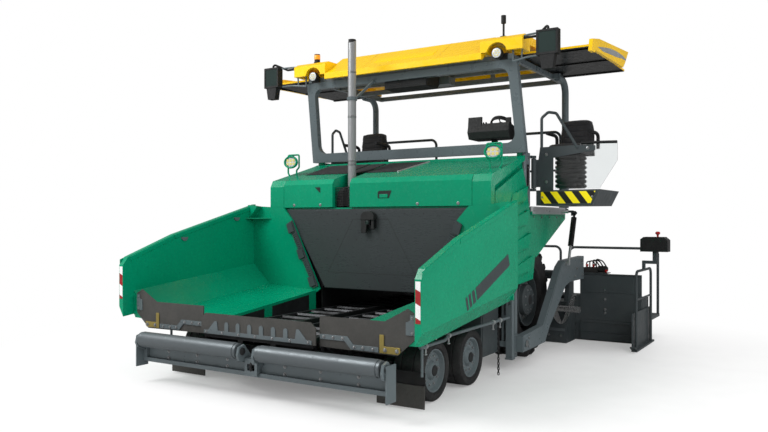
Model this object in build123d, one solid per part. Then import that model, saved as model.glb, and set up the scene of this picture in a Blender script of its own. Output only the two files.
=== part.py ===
"""Wheeled asphalt paver: hopper in front, operator platform over the rear axle, towed screed behind.

Millimetres. X points to the machine's left, Y to the rear and Z up. The origin lies on the ground
below the middle of the overall length. Left-hand pieces are drawn and mirrored for the right side.
"""
from build123d import *
from math import atan, atan2, degrees
import os

# ---------------------------------------------------------------- driving dimensions
front_y = -3120            # foremost line: push rollers
rear_y = 3120              # rearmost line: screed walkway
body_half = 1500           # outer face of the tractor's side panels
frame_half = 720           # outer face of the chassis side plates
plate = 20                 # chassis plate thickness
gap = 5                    # clearance between pieces that move past each other
seat_gap = 0.3             # joint between curved faces that seat on each other
pin_gap = 0.05             # radial clearance of pins and shafts

deck_top = 1800            # operator platform
deck_thick = 60
foot_pad = 8               # pads on the deck under the posts
deck_rear_y = 1600
cowl_top = 2400            # top of the hood at the platform
hood_front_y = -990
hood_front_top = 2080
hood_bottom = 1800

front_wheel_r = 280        # solid tyres
front_wheel_w = 300
front_track_out = 1480     # outer face of the front tyres
front_axles_y = (-2180, -1410)
rear_wheel_r = 685
rear_wheel_w = 410
rear_track_out = 1430
rear_axle_y = 370

hopper_half = 1800         # outer face of the hopper wings
wing_front_y = -3040
wing_back_y = -1000
wing_hinge_x = 750
wing_hinge_z = 520
hinge_places = (-2700, -1960, -1160)
wing_wall = 60
floor_front_z = 600        # top of the wing floor at the front and at the back
floor_back_z = 810

roller_y = -3043
roller_r = 76
roller_z = 440
beam_half = 1500

tow_x = 1550               # inner face of the tow arms
tow_arm_w = 82
tow_pin_y, tow_pin_z = -330, 275
rail_x, rail_y = 1500, -365    # tow rails
levelling_x, levelling_y = 1420, -480
console_rail_y, console_rail_z = (30, 68), (2300, 2360)
seat_pin_x, seat_pin_y = 1520, 220
lift_x, lift_top, lift_eye = 1675, (1300, 1740), (1050, 1100)

screed_half = 1495
screed_front_y = 1520
screed_depth = 380
screed_plate_h = 40
screed_out = 2380          # outer end of the extension as parked
extension_len = 1430
extension_depth = 390
auger_y, auger_z, auger_r = 1290, 490, 210
auger_half = 1750

roof_half = 1610
roof_front_y, roof_rear_y = -380, 1670
roof_top = 3830
frame_top = roof_top - 290     # the roof shell sits over the ladder below it
portal_foot_z, portal_top_z = 2430, frame_top - 60
awning_out = 2300

os.makedirs("parts", exist_ok=True)


# ---------------------------------------------------------------- small helpers
def box(x, y, z):
    """Block between three (low, high) pairs."""
    centre = [(a + b) / 2 for a, b in (x, y, z)]
    return Pos(*centre) * Box(*(abs(b - a) for a, b in (x, y, z)))


def prism(axis, points, low, high, radius=0):
    """Outline of (a, b) points across axis x, y or z, drawn out from low to high."""
    place = {"x": lambda a, b: (low, a, b), "y": lambda a, b: (a, low, b), "z": lambda a, b: (a, b, low)}[axis]
    face = Face(Wire.make_polygon([place(a, b) for a, b in points], close=True))
    if radius:
        face = face.fillet_2d(radius, face.vertices())
    along = {"x": (high - low, 0, 0), "y": (0, high - low, 0), "z": (0, 0, high - low)}[axis]
    return Solid.extrude(face, Vector(*along))


def rod(axis, radius, low, high, a, b):
    """Cylinder along an axis; a and b are its place across it, in X, Y, Z order."""
    middle = (low + high) / 2
    turn = {"x": Rotation(0, 90, 0), "y": Rotation(90, 0, 0), "z": Rotation(0, 0, 0)}[axis]
    place = {"x": (middle, a, b), "y": (a, middle, b), "z": (a, b, middle)}[axis]
    return Pos(*place) * turn * Cylinder(radius, abs(high - low))


def ring(axis, outer, inner, low, high, a, b):
    return rod(axis, outer, low, high, a, b) - rod(axis, inner, low - 1, high + 1, a, b)


def tube(points, radius, bend):
    """Round bar bent along a route."""
    path = FilletPolyline(*points, radius=bend)
    return sweep(Plane(origin=path @ 0, z_dir=path % 0) * Circle(radius), path=path)


def turned(points, x, y, z):
    """Profile of (radius, x) points turned round the line along X at y and z."""
    profile = Face(Wire.make_polygon([(x + along, radius, 0) for radius, along in points], close=True))
    return Pos(0, y, z) * revolve(profile, Axis.X)


def right(shape):
    return mirror(shape, about=Plane.YZ)


def both(*shapes):
    return [*shapes, *(right(shape) for shape in shapes)]


def fused(first, *others):
    """One weldment out of several shapes."""
    for other in others:
        first = first + other
    return first


def save(name, *shapes):
    solids = [solid for shape in shapes for solid in shape.solids()]
    export_step(Compound(children=solids) if len(solids) > 1 else solids[0], f"parts/{name}.step")


def save_pair(name, *shapes):
    save(f"{name}_left", *shapes)
    save(f"{name}_right", *[right(shape) for shape in shapes])


# ---------------------------------------------------------------- wheels, knuckles and axles
front_rim_r = front_wheel_r * 0.7
kingpin_x = front_track_out - front_wheel_w / 2
yoke_half, ear_thick, kingpin_r = 40, 35, 22
knuckle_r, knuckle_half_h = 44, 78
spindle_r = 35
rear_rim_r = 318
rear_spindle_r = 60
bogie_outer_x, bogie_w = kingpin_x - 275, 95


def tyre(outer, inner, width, out_x, y, z, shoulder):
    """Tyre ring with sloped shoulders and sidewalls pulled in towards the bead."""
    bead = shoulder * 0.5
    section = [(inner, -width + bead), (outer - 2.2 * shoulder, -width), (outer - shoulder * 0.4, -width + 6),
               (outer, -width + shoulder), (outer, -shoulder), (outer - shoulder * 0.4, -6),
               (outer - 2.2 * shoulder, 0), (inner, -bead)]
    return turned(section, out_x, y, z)


def front_wheels():
    """Solid tyre on a dished rim that is open inboard for the steering knuckle."""
    z, inner = front_wheel_r, front_rim_r
    rim = inner - seat_gap
    disc, hub = -55, 66
    section = [(spindle_r + pin_gap, -95), (hub, -95), (hub, disc - 18), (rim - 22, disc - 12),
               (rim - 16, -front_wheel_w + 14), (rim, -front_wheel_w + 14), (rim, -14), (rim - 14, -14),
               (rim - 30, disc + 6), (hub + 24, disc + 4), (hub + 6, -28), (hub - 8, -18), (spindle_r + pin_gap, -18)]
    for y, name in zip(front_axles_y, ("front", "mid")):
        save_pair(f"tyre_{name}", tyre(front_wheel_r, inner, front_wheel_w, front_track_out, y, z, 22))
        save_pair(f"rim_{name}", turned(section, front_track_out, y, z))


def knuckles():
    """Steering knuckle: kingpin between the yoke ears, spindle out into the hub."""
    z = front_wheel_r
    for y, name in zip(front_axles_y, ("front", "mid")):
        body = rod("z", knuckle_r, z - knuckle_half_h, z + knuckle_half_h, kingpin_x, y)
        pin = rod("z", kingpin_r, z - knuckle_half_h - gap - ear_thick, z + knuckle_half_h + gap + ear_thick,
                  kingpin_x, y)
        spindle = rod("x", spindle_r, kingpin_x, front_track_out - 22, y, z)
        collar = rod("x", spindle_r + 12, kingpin_x, front_track_out - 98, y, z)
        save_pair(f"knuckle_{name}", body + pin + spindle + collar)


def front_bogies():
    """Rocking beam that carries two wheels, with a yoke at each end, on a stub from the chassis."""
    z, middle = front_wheel_r, sum(front_axles_y) / 2
    inner_x = bogie_outer_x - bogie_w
    first, last = front_axles_y
    side = [(first - 70, z - 60), (first - 70, z + 60), (middle - 120, z + 100), (middle + 120, z + 100),
            (last + 70, z + 60), (last + 70, z - 60), (middle + 120, z - 100), (middle - 120, z - 100)]
    beam = prism("x", side, inner_x, bogie_outer_x)
    beam += rod("x", 75, frame_half, inner_x, middle, z) + rod("x", 110, inner_x - 40, inner_x, middle, z)
    ear = knuckle_half_h + gap
    for y in front_axles_y:
        arm = box((bogie_outer_x, kingpin_x - knuckle_r - gap), (y - yoke_half, y + yoke_half),
                  (z - ear - ear_thick, z + ear + ear_thick))
        for low in (z + ear, z - ear - ear_thick):
            arm += box((kingpin_x - 60, kingpin_x), (y - yoke_half, y + yoke_half), (low, low + ear_thick))
            arm += rod("z", yoke_half, low, low + ear_thick, kingpin_x, y)
        beam += arm - rod("z", kingpin_r + pin_gap, z - 200, z + 200, kingpin_x, y)
    return both(beam)


def rear_wheels():
    z, y, inner, w = rear_wheel_r, rear_axle_y, rear_rim_r, rear_wheel_w
    rim = inner - seat_gap
    save_pair("tyre_rear", tyre(rear_wheel_r, inner, w, rear_track_out, y, z, 40))
    section = [(rear_spindle_r + pin_gap, -200), (150, -200), (150, -150), (235, -130), (rim - 34, -150),
               (rim - 24, -w + 30), (rim, -w + 30), (rim, -30), (rim - 20, -30), (rim - 30, -110),
               (235, -88), (190, -84), (182, -28), (165, -12), (92, -8), (80, 0), (rear_spindle_r + pin_gap, 0)]
    save_pair("rim_rear", turned(section, rear_track_out - 12, y, z))


def rear_axle():
    """Final drive housings bolted to the chassis sides, each with its spindle."""
    y, z, hub_x = rear_axle_y, rear_wheel_r, rear_track_out - 12
    drive = rod("x", 190, frame_half, frame_half + 60, y, z) + rod("x", 175, frame_half, hub_x - 230, y, z)
    drive += rod("x", 120, frame_half, hub_x - 206, y, z)
    drive += rod("x", rear_spindle_r, frame_half, hub_x - 4, y, z)
    return both(drive)


# ---------------------------------------------------------------- chassis and conveyors
conveyor_z, conveyor_r, chain_w, chain_thick = 545, 60, 40, 24
conveyor_front_y, conveyor_back_y = -2830, 980
floor_thick = 12
chain_inner, chain_outer = 70, 600
slat_pitch = 258
tunnel_top = 880
chassis_front_y = -2880
tie_down_r, tie_down_place = 22, (770, -2810, 450)     # bore through each lashing lug, at its top face


def main_frame():
    """Two side plates tied by the conveyor floor, the tunnel roof, the shafts and cross members."""
    bogie_y = sum(front_axles_y) / 2
    outline = [(chassis_front_y, 390), (chassis_front_y, conveyor_z), (shield_y + 20, conveyor_z),
               (shield_y + 20, tunnel_top),
               (1065, tunnel_top), (1065, 470), (1000, 420), (bogie_y + 480, 420), (bogie_y + 230, 180),
               (bogie_y - 230, 180), (bogie_y - 480, 390)]
    side = prism("x", outline, frame_half - plate, frame_half)
    inside = (-frame_half + plate, frame_half - plate)
    frame = side + right(side)
    frame += box(inside, (conveyor_front_y + 90, conveyor_back_y - 90), (conveyor_z - floor_thick, conveyor_z))
    frame += box(inside, (shield_y + 20, 1180), (tunnel_top - plate, tunnel_top))
    frame += box(inside, (bogie_y - 60, bogie_y + 60), (200, 400))
    frame += box(inside, (rear_axle_y - 40, rear_axle_y + 40), (430, 478))
    frame += box(inside, (chassis_front_y, chassis_front_y + plate), (390, 470))
    divider = [(conveyor_front_y - 40, 640), (conveyor_front_y - 40, 560), (conveyor_front_y + 80, conveyor_z),
               (conveyor_back_y - 100, conveyor_z), (conveyor_back_y - 100, 640)]
    frame += prism("x", divider, -22, 22)
    x, y, z = tie_down_place
    lug = box((frame_half - 1, x + 40), (y - 40, y + 40), (z - plate, z))
    frame += both(lug - rod("z", tie_down_r, z - plate - 1, z + 1, x, y))
    for y in (conveyor_front_y, conveyor_back_y):
        frame += rod("x", 22, -frame_half + plate, frame_half - plate, y, conveyor_z)
        for x in (chain_inner, chain_outer):
            for s in (-1, 1):
                low, high = sorted((s * x, s * (x + chain_w)))
                frame += rod("x", conveyor_r - chain_thick - seat_gap, low + 4, high - 4, y, conveyor_z)
    return frame


def conveyor_chains():
    """Two endless slat conveyors side by side, each one fixed loop of chains and cross slats."""
    length = conveyor_back_y - conveyor_front_y
    middle = (conveyor_back_y + conveyor_front_y) / 2

    def loop(radius, low, high):
        flat = SlotOverall(length + 2 * radius, 2 * radius)
        return Pos((low + high) / 2, middle, conveyor_z) * Rotation(0, 90, 0) * Rotation(0, 0, 90) * extrude(
            flat, (high - low) / 2, both=True)

    belt = None
    for x in (chain_inner, chain_outer):
        chain = loop(conveyor_r, x, x + chain_w) - loop(conveyor_r - chain_thick, x - 1, x + chain_w + 1)
        belt = chain if belt is None else belt + chain
    count = int((length - 200) // slat_pitch) + 1
    start = middle - (count - 1) * slat_pitch / 2
    slat = [(-26, 0), (-14, 20), (14, 20), (26, 0)]
    for row in range(count):
        y = start + row * slat_pitch
        for side in (1, -1):
            edge = conveyor_z + side * (conveyor_r - chain_thick)
            points = [(y + a, edge + side * (b + 2)) for a, b in slat]
            belt += prism("x", points, chain_inner + 2, chain_outer + chain_w - 2)
    save("conveyor_chains", *both(belt))


def engine_block():
    save("engine_block", box((-560, 560), (-880, -120), (960, 1560)))


arch_inner = rear_track_out - rear_wheel_w - 30


def tractor_body():
    """Bulkheads, engine bed and rear body between the wheels that carry the hood and the platform."""
    half = body_half - 60
    body = box((-half, half), (hood_front_y + 40, hood_front_y + 60), (tunnel_top, 1700))
    body += box((-half, half), (-50, -30), (tunnel_top, cowl_top - 260))
    body += box((-lid_half, lid_half), (-50, -30), (tunnel_top, cowl_top - 100))
    body += box((-half, half), (hood_front_y + 60, -50), (tunnel_top, tunnel_top + 20))
    for x in (-560, 500):
        body += box((x, x + 60), (hood_front_y + 60, -50), (tunnel_top + 20, 960))
    body += box((-900, 900), (-30, 1180), (tunnel_top, deck_top - deck_thick))
    body += box((-240, 240), (shield_y + 15, hood_front_y + 40), (900, 1000))
    for s in (-1, 1):
        low, high = sorted((s * frame_half, s * 1400))
        body += box((low, high), (levelling_y - 30, levelling_y + 30), (tunnel_top + 10, tunnel_top + 80))
        low, high = sorted((s * 500, s * half))
        body += box((low, high), (-30, 60), (1700, deck_top - deck_thick))
        low, high = sorted((s * arch_inner, s * (half + 20)))
        body -= rod("x", rear_wheel_r + 50, low, high, rear_axle_y, rear_wheel_r)
    return body


def hinge_pin(y0, y1, clear):
    """Barrel bore or pin radius along the wing hinge."""
    return rod("y", 15 + clear, y0, y1, wing_hinge_x, wing_hinge_z)


def wing_hinges():
    """Chassis half of the wing hinges: barrels and pins on lugs outside the side plates."""
    hinge = None
    for y in hinge_places:
        part = rod("y", 28, y - 140, y - gap, wing_hinge_x, wing_hinge_z)
        part += box((frame_half, wing_hinge_x), (y - 140, y - gap), (wing_hinge_z - 28, wing_hinge_z + 28))
        part += hinge_pin(y - gap, y + 130, 0)
        hinge = part if hinge is None else hinge + part
    return both(hinge)


# ---------------------------------------------------------------- hopper
wing_top_front, wing_top_mid, wing_top_back = 1240, 1490, 1850
wing_mid_y = -2350
wing_floor_thick = 30
wing_fold_x = 1480          # where the floor turns up into the slope
wing_slope_h = 290
wing_rear_thick = 28
shield_y = wing_back_y + 12     # just behind the rear walls of the wings
shield_top, shield_bottom = (1230, 1780), (650, 840)
flap_y = -2912
flap_thick = 12


def floor_z(y):
    """Height of the wing floor, which rises towards the back."""
    return floor_front_z + (floor_back_z - floor_front_z) * (y - wing_front_y) / (wing_back_y - wing_front_y)


def wing_section(y, top):
    """Cross-section of a wing: floor, slope and outer wall with a cut lower corner."""
    z, edge = floor_z(y), wing_hinge_x + gap
    points = [(edge, z - wing_floor_thick), (hopper_half - 80, z + 10), (hopper_half, z + 150), (hopper_half, top),
              (hopper_half - wing_wall, top), (hopper_half - wing_wall, z + wing_slope_h), (wing_fold_x, z + 45),
              (edge, z)]
    return Face(Wire.make_polygon([(a, y, b) for a, b in points], close=True))


def hopper_wings():
    """Sloping floor, outer wall with its top rail, rear wall and hinge barrels in one welded wing."""
    stations = ((wing_front_y, wing_top_front), (wing_mid_y, wing_top_mid), (wing_back_y, wing_top_back))
    sections = [wing_section(y, top) for y, top in stations]
    wing = Solid.make_loft([sections[0].outer_wire(), sections[1].outer_wire()], ruled=True)
    wing += Solid.make_loft([sections[1].outer_wire(), sections[2].outer_wire()], ruled=True)
    wing -= box((wing_hinge_x, hopper_half - wing_wall), (wing_front_y - 1, flap_y + flap_thick), (400, wing_top_front))
    nose = prism("x", [(wing_front_y - 1, wing_top_front - 60), (wing_front_y - 1, wing_top_front + 60),
                       (wing_front_y + 90, wing_top_front + 60)], wing_hinge_x, hopper_half + 1)
    wing -= nose
    foot = floor_z(wing_back_y)
    rear = [(wing_hinge_x - 50, foot + 10), (wing_hinge_x + gap, foot - wing_floor_thick), (hopper_half - 40, foot + 20),
            (hopper_half - 20, 1830), (shield_top[0] + 30, 1800), (shield_top[0] - 107, 1650)]
    wing += prism("y", rear, wing_back_y - wing_rear_thick, wing_back_y)
    wing += prism("y", [(hopper_half - 40, 1640), (hopper_half - 40, 1840), (hopper_half - 190, 1820)],
                  wing_back_y - 120, wing_back_y - wing_rear_thick)
    for y in hinge_places:
        lug = rod("y", 28, y, y + 130, wing_hinge_x, wing_hinge_z)
        top = floor_z(y) - wing_floor_thick + 12
        lug += box((wing_hinge_x + gap, wing_hinge_x + 80), (y, y + 130), (wing_hinge_z - 20, top))
        wing += lug - hinge_pin(y - 1, y + 131, pin_gap)
    save_pair("hopper_wing", wing)


def hopper_shield():
    """Fixed rear wall of the hopper in front of the engine, over the conveyor tunnel."""
    (top_x, top_z), (low_x, low_z) = shield_top, shield_bottom
    y = shield_y
    wall = prism("y", [(-top_x, top_z), (top_x, top_z), (low_x, low_z), (-low_x, low_z)], y, y + 15)
    wall += box((-top_x + 10, top_x - 10), (y, y + 25), (top_z - 12, top_z))
    panel = prism("y", [(-820, top_z - 90), (820, top_z - 90), (430, low_z + 120), (-430, low_z + 120)], y - 6, y)
    wall += panel
    wall += box((-85, 85), (y - 40, y), (1560, 1690)) + box((-30, 30), (y - 70, y - 40), (1590, 1650))
    save("hopper_shield", wall)


def wing_flaps():
    """Rubber apron on the front edge of each wing, held by a stepped steel strip."""
    y = flap_y
    z0 = floor_front_z - 70
    outline = [(710, z0 + 10), (710, z0 + 277), (1380, z0 + 277), (1600, z0 + 395), (1675, z0 + 355),
               (1675, z0 + 150), (1500, z0)]
    save_pair("wing_flap", prism("y", outline, y, y + flap_thick))


def apron_flap():
    """Centre rubber apron bolted to the front of the chassis."""
    y = flap_y - 40
    z0 = floor_front_z - 52
    return prism("y", [(-695, z0), (695, z0), (695, z0 + 150), (640, z0 + 200), (-640, z0 + 200), (-695, z0 + 150)],
                 y, y + flap_thick)


def apron_carrier():
    """Lip plate behind the apron on two arms from the nose of the chassis."""
    y = flap_y - 40 + flap_thick
    z0 = floor_front_z - 52
    carrier = [box((-660, 660), (y, y + 8), (z0 - 30, z0 + 40))]
    for x in (-200, 200):
        carrier.append(box((x - 30, x + 30), (y, y + 8), (z0 - 88, z0 - 30)))
        carrier.append(box((x - 30, x + 30), (y, chassis_front_y + plate), (z0 - 88, z0 - 80)))
    return carrier


# ---------------------------------------------------------------- push rollers and front guards
beam_pivot_y = -2800
roller_span = (120, 1440)


def push_beam():
    """Cross beam that swings on a centre pivot and carries the two push rollers and the tow hook."""
    front, back = -2985, -2925
    beam = box((-beam_half, beam_half), (front, back), (205, 380))
    beam -= box((-beam_half + 60, beam_half - 60), (front - 1, front + 34), (245, 345))
    beam += box((-75, 75), (front - 30, front + 40), (215, 375)) - box((-45, 45), (front - 31, front + 41), (265, 325))
    tongue = prism("z", [(-260, back), (260, back), (70, beam_pivot_y + 20), (-70, beam_pivot_y + 20)], 250, 290)
    tongue += rod("z", 70, 250, 290, 0, beam_pivot_y)
    beam += tongue - rod("z", 30 + pin_gap, 249, 291, 0, beam_pivot_y)
    for s in (-1, 1):
        for x in (roller_span[0] - 40, roller_span[1] + 15):
            low, high = sorted((s * x, s * (x + 25)))
            cheek = prism("x", [(back, 400), (back, 300), (roller_y - 40, 360), (roller_y - 60, 410),
                                (roller_y - 40, 480), (roller_y + 30, 500)], low, high)
            beam += cheek - rod("x", 20 + pin_gap, low - 1, high + 1, roller_y, roller_z)
        low, high = sorted((s * (beam_half - 12), s * beam_half))
        beam += box((low, high), (roller_y - 30, back), (160, 470))
    save("push_beam", beam)


def push_rollers():
    low, high = roller_span
    z, y = roller_z, roller_y
    body = rod("x", roller_r, low, high, y, z) - ring("x", roller_r + 1, roller_r - 6, low - 1, low + 30, y, z)
    body -= ring("x", roller_r + 1, roller_r - 6, high - 30, high + 1, y, z)
    body += rod("x", 20, low - 40, high + 38, y, z)
    save_pair("push_roller", body)


def beam_mount():
    """Pivot pin of the push beam between two plates under the nose of the chassis."""
    half = frame_half - plate
    mount = None
    for z in (205, 290 + gap):
        arm = prism("z", [(-70, beam_pivot_y - 40), (70, beam_pivot_y - 40), (half, -2700), (half, -2560),
                          (-half, -2560), (-half, -2700)], z, z + 40)
        mount = arm if mount is None else mount + arm
    mount += rod("z", 30, 205, 335, 0, beam_pivot_y)
    for s in (-1, 1):
        low, high = sorted((s * (half - plate), s * half))
        mount += box((low, high), (-2700, -2560), (205, 400))
    return [mount]


deflector_y = -2545


def deflector_skirts():
    """Rubber skirts that clear the lane in front of the wheels."""
    return both(box((1070, 1555), (deflector_y, deflector_y + 14), (15, 215)))


def deflector_hangers():
    y = deflector_y + 14
    hanger = box((1070, 1555), (y, y + 8), (140, 330)) + box((frame_half - 10, 1100), (y, y + 8), (230, 330))
    hanger += box((frame_half - 10, 790), (y - 54, y + 8), (230, 470))
    return both(hanger)


# ---------------------------------------------------------------- hood, doors and exhaust
lid_half = 1280
lid_skin = 26
exhaust_x, exhaust_y, exhaust_r, exhaust_top = -430, -735, 50, 3840
exhaust_slot = (-540, -290)
hood_hinge_y = -105
hood_hinge_z = cowl_top - 15


def hood_slope(y):
    """Height of the hood's top surface, which climbs from its front edge to the cowl."""
    start = hood_front_y + 45
    rise = (cowl_top - 30 - hood_front_top - 60) / (hood_hinge_y - start)
    return hood_front_top + 60 + rise * (y - start)


def hood_base():
    """Fixed shoulders either side of the lids, the sill below them and the cowl behind them."""
    back = -15
    side = [(hood_front_y, hood_bottom), (hood_front_y, hood_front_top - 20), (hood_front_y + 45, hood_slope(-945)),
            (hood_hinge_y, hood_slope(hood_hinge_y)), (back, cowl_top), (back, cowl_top - 260), (-60, cowl_top - 260), (-500, 1980), (-900, hood_bottom)]
    shoulder = prism("x", side, lid_half + gap, body_half - 50)
    shoulder += prism("x", side[:5] + [(back, 2340), (hood_front_y + 97, 2014), (hood_front_y + 97, hood_bottom)],
                      body_half - 50, body_half)
    cowl = box((-lid_half - 20, lid_half + 20), (-50, back), (2300, cowl_top))
    sill = box((-lid_half - 20, lid_half + 20), (hood_front_y + 32, hood_front_y + 60), (1700, hood_bottom - 3))
    sill += box((lid_half + gap, lid_half + 50), (hood_front_y + 32, hood_front_y + 60), (1700, hood_bottom + 9))
    sill += box((-lid_half - 50, -lid_half - gap), (hood_front_y + 32, hood_front_y + 60), (1700, hood_bottom + 9))
    posts = both(box((body_half - 100, body_half - 35), (back, 58), (deck_top + foot_pad, portal_foot_z)))
    rail = box((-body_half + 90, body_half - 90), console_rail_y, console_rail_z)
    save("hood_base", fused(shoulder, right(shoulder), cowl, sill, rail, *posts, *hood_hinges(), *light_guards()))


def hood_lids():
    """Two lifting lids over the engine, parted by the exhaust slot."""
    def lid(low, high):
        side = [(hood_front_y, hood_bottom + 3), (hood_front_y, hood_front_top), (hood_front_y + 45, hood_slope(-945)),
                (hood_hinge_y - 20, hood_slope(hood_hinge_y - 20)), (hood_hinge_y - 20, 2300), (-880, 1960),
                (-900, hood_bottom + 3)]
        skin = [(a + (lid_skin if a < -900 else 0), b - (lid_skin * 1.1 if b > 2000 else 0)) for a, b in side]
        skin[0], skin[-1] = (side[0][0] + lid_skin, side[0][1] - 1), (side[-1][0], side[-1][1] - 1)
        skin[4], skin[5] = (skin[4][0], side[4][1] - 20), (-880, 1900)
        shell = prism("x", side, low, high) - prism("x", skin, low + lid_skin, high - lid_skin)
        for x in (low + 90, high - 170):
            shell += rod("x", 14, x, x + 80, hood_hinge_y, hood_hinge_z - 20)
            shell += box((x, x + 80), (hood_hinge_y - 24, hood_hinge_y), (hood_hinge_z - 34, hood_hinge_z - 20))
            shell -= rod("x", 7 + pin_gap, x - 1, x + 81, hood_hinge_y, hood_hinge_z - 20)
        return shell
    left = lid(exhaust_slot[1], lid_half)
    left -= box((100, 250), (hood_front_y - 1, hood_front_y + 14), (1905, 1965))
    save("hood_lid_left", left)
    save("hood_lid_right", lid(-lid_half, exhaust_slot[0]))

def hood_hinges():
    """Lugs and pins of the lids on the cowl."""
    parts = []
    for low, high in ((exhaust_slot[1], lid_half), (-lid_half, exhaust_slot[0])):
        for x in (low + 90, high - 170):
            for start in (x - 35, x + 85):
                parts.append(box((start, start + 30), (hood_hinge_y - 14, -50), (hood_hinge_z - 34, hood_hinge_z - 6)))
            parts.append(rod("x", 7, x - 35, x + 115, hood_hinge_y, hood_hinge_z - 20))
    return parts


door_pin_x, door_pin_y = body_half - 40, -940
door_hinge_z = (1260, 1580)


def side_doors():
    """Scooped ventilation doors over the engine bay, hinged on their front edges."""
    outline = [(-930, 1200), (-930, 1790), (-874, 1790), (-874, 1951), (-80, 2250), (20, 2080), (140, 1760),
               (330, 1240), (250, 950), (-340, 910), (-600, 930)]
    door = prism("x", outline, body_half - 30, body_half)
    for row in range(4):
        z = 1080 + row * 270
        y = -60 - row * 52
        scoop = prism("x", [(y - 240, z - 60), (y - 190, z + 50), (y + 230, z + 150), (y + 150, z - 20)],
                      body_half, body_half + 34)
        ramp = prism("z", [(body_half, y - 250), (body_half + 60, y - 250), (body_half + 60, y + 240),
                           (body_half + 34, y + 240)], z - 100, z + 200)
        door += scoop - ramp
    for z in door_hinge_z:
        barrel = rod("z", 16, z, z + 90, door_pin_x, door_pin_y)
        barrel += box((door_pin_x + 4, body_half - 22), (door_pin_y + 8, door_pin_y + 60), (z, z + 90))
        door += barrel - rod("z", 8 + pin_gap, z - 1, z + 91, door_pin_x, door_pin_y)
    save_pair("side_door", door)


def door_hinges():
    """Pins of the side doors on lugs beside the front bulkhead."""
    pins = []
    for z in door_hinge_z:
        pins.append(rod("z", 8, z - 10, z + 100, door_pin_x, door_pin_y))
        for low in (z - 25, z + 95):
            pins.append(box((body_half - 70, door_pin_x + 8), (door_pin_y - 12, door_pin_y + 12), (low, low + 20)))
    return both(*pins)


def exhaust():
    """Upright stack with a slanted mouth, steadied by a clamp from the portal."""
    x, y, r = exhaust_x, exhaust_y, exhaust_r
    foot = 1560
    pipe = ring("z", r, r - 3, foot, exhaust_top, x, y) + ring("z", r + 8, r, foot, foot + 20, x, y)
    cut = Pos(x, y, exhaust_top - 22) * Rotation(25, 0, 0) * Pos(0, 0, 100) * Box(200, 200, 200)
    save("exhaust_stack", pipe - cut)

def exhaust_stay():
    """Clamp round the stack on a stay down from the portal's top beam."""
    x, y, r, z = exhaust_x, exhaust_y, exhaust_r, 3100
    clamp = ring("z", r + 12, r + seat_gap, z, z + 40, x, y)
    high = portal_top_z - 60
    stay = prism("x", [(y + r + 4, z + 36), (y + r + 4, z + 4), (portal_y(high) - 34, high - 20),
                       (portal_y(high) - 34, high + 20)], x - 10, x + 10)
    return [clamp, stay]


# ---------------------------------------------------------------- portal, posts and roof
portal_half_foot, portal_half_top = 1530, 1490
portal_w, portal_thick = 112, 80
portal_foot_y, portal_top_y = -30, -215
post_r, post_x, post_y = 45, 1495, 1480
post_end_y = 1150
shell_thick = 40


def portal_y(z):
    """Depth of the leaning portal's mid plane at a height."""
    return portal_foot_y + (portal_top_y - portal_foot_y) * (z - portal_foot_z) / (portal_top_z - portal_foot_z)


def portal_frame():
    """Flat frame that leans forward from the cowl to the roof, with rounded inner corners."""
    outer = [(-portal_half_foot, portal_foot_z), (portal_half_foot, portal_foot_z), (portal_half_top, portal_top_z),
             (-portal_half_top, portal_top_z)]
    inner = [(-portal_half_foot + portal_w, portal_foot_z + 118), (portal_half_foot - portal_w, portal_foot_z + 118),
             (portal_half_top - portal_w, portal_top_z - 85), (-portal_half_top + portal_w, portal_top_z - 85)]
    frame = prism("y", outer, -400, 200) - prism("y", inner, -401, 201, radius=110)
    low, high = portal_foot_z - 30, portal_top_z + 20
    slab = prism("x", [(portal_y(low) - 40, low), (portal_y(low) + 40, low), (portal_y(high) + 40, high),
                       (portal_y(high) - 40, high)], -1600, 1600)
    return frame & slab


def rear_posts():
    """Bent tubes from the deck's rear corners forward to the roof frame."""
    foot = deck_top + foot_pad
    post = tube([(post_x, post_y, foot), (post_x, post_y, frame_top - post_r), (post_x, post_end_y, frame_top - post_r)],
                post_r, 170)
    post += box((post_x - 55, post_x + 5), (post_y - 46, post_y + 46), (foot, foot + 15))
    return both(post)


def roof_frame():
    """Ladder of square tubes that joins the portal and the posts and carries the roof shell."""
    parts = []
    for y in (portal_top_y - 20, 400, 950, 1500):
        parts.append(box((-1400, 1400), (y, y + 50), (portal_top_z, frame_top)))
    for y in (400, 950):
        parts += both(box((650, 700), (y, y + 50), (frame_top, roof_top - 130)))
    parts += both(box((1395, 1445), (portal_top_y - 60, 1560), (portal_top_z, frame_top)),
                  box((1420, post_x + post_r), (post_end_y - 40, post_end_y), (portal_top_z, frame_top)))
    parts.append(box((-380, 380), (260, 440), (portal_top_z - 95, portal_top_z)))
    return parts


def canopy_frame():
    """Portal, rear posts and roof ladder as one welded frame, with the stay for the stack."""
    save("canopy_frame", fused(portal_frame(), *roof_frame(), *rear_posts(), *exhaust_stay()))


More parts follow.
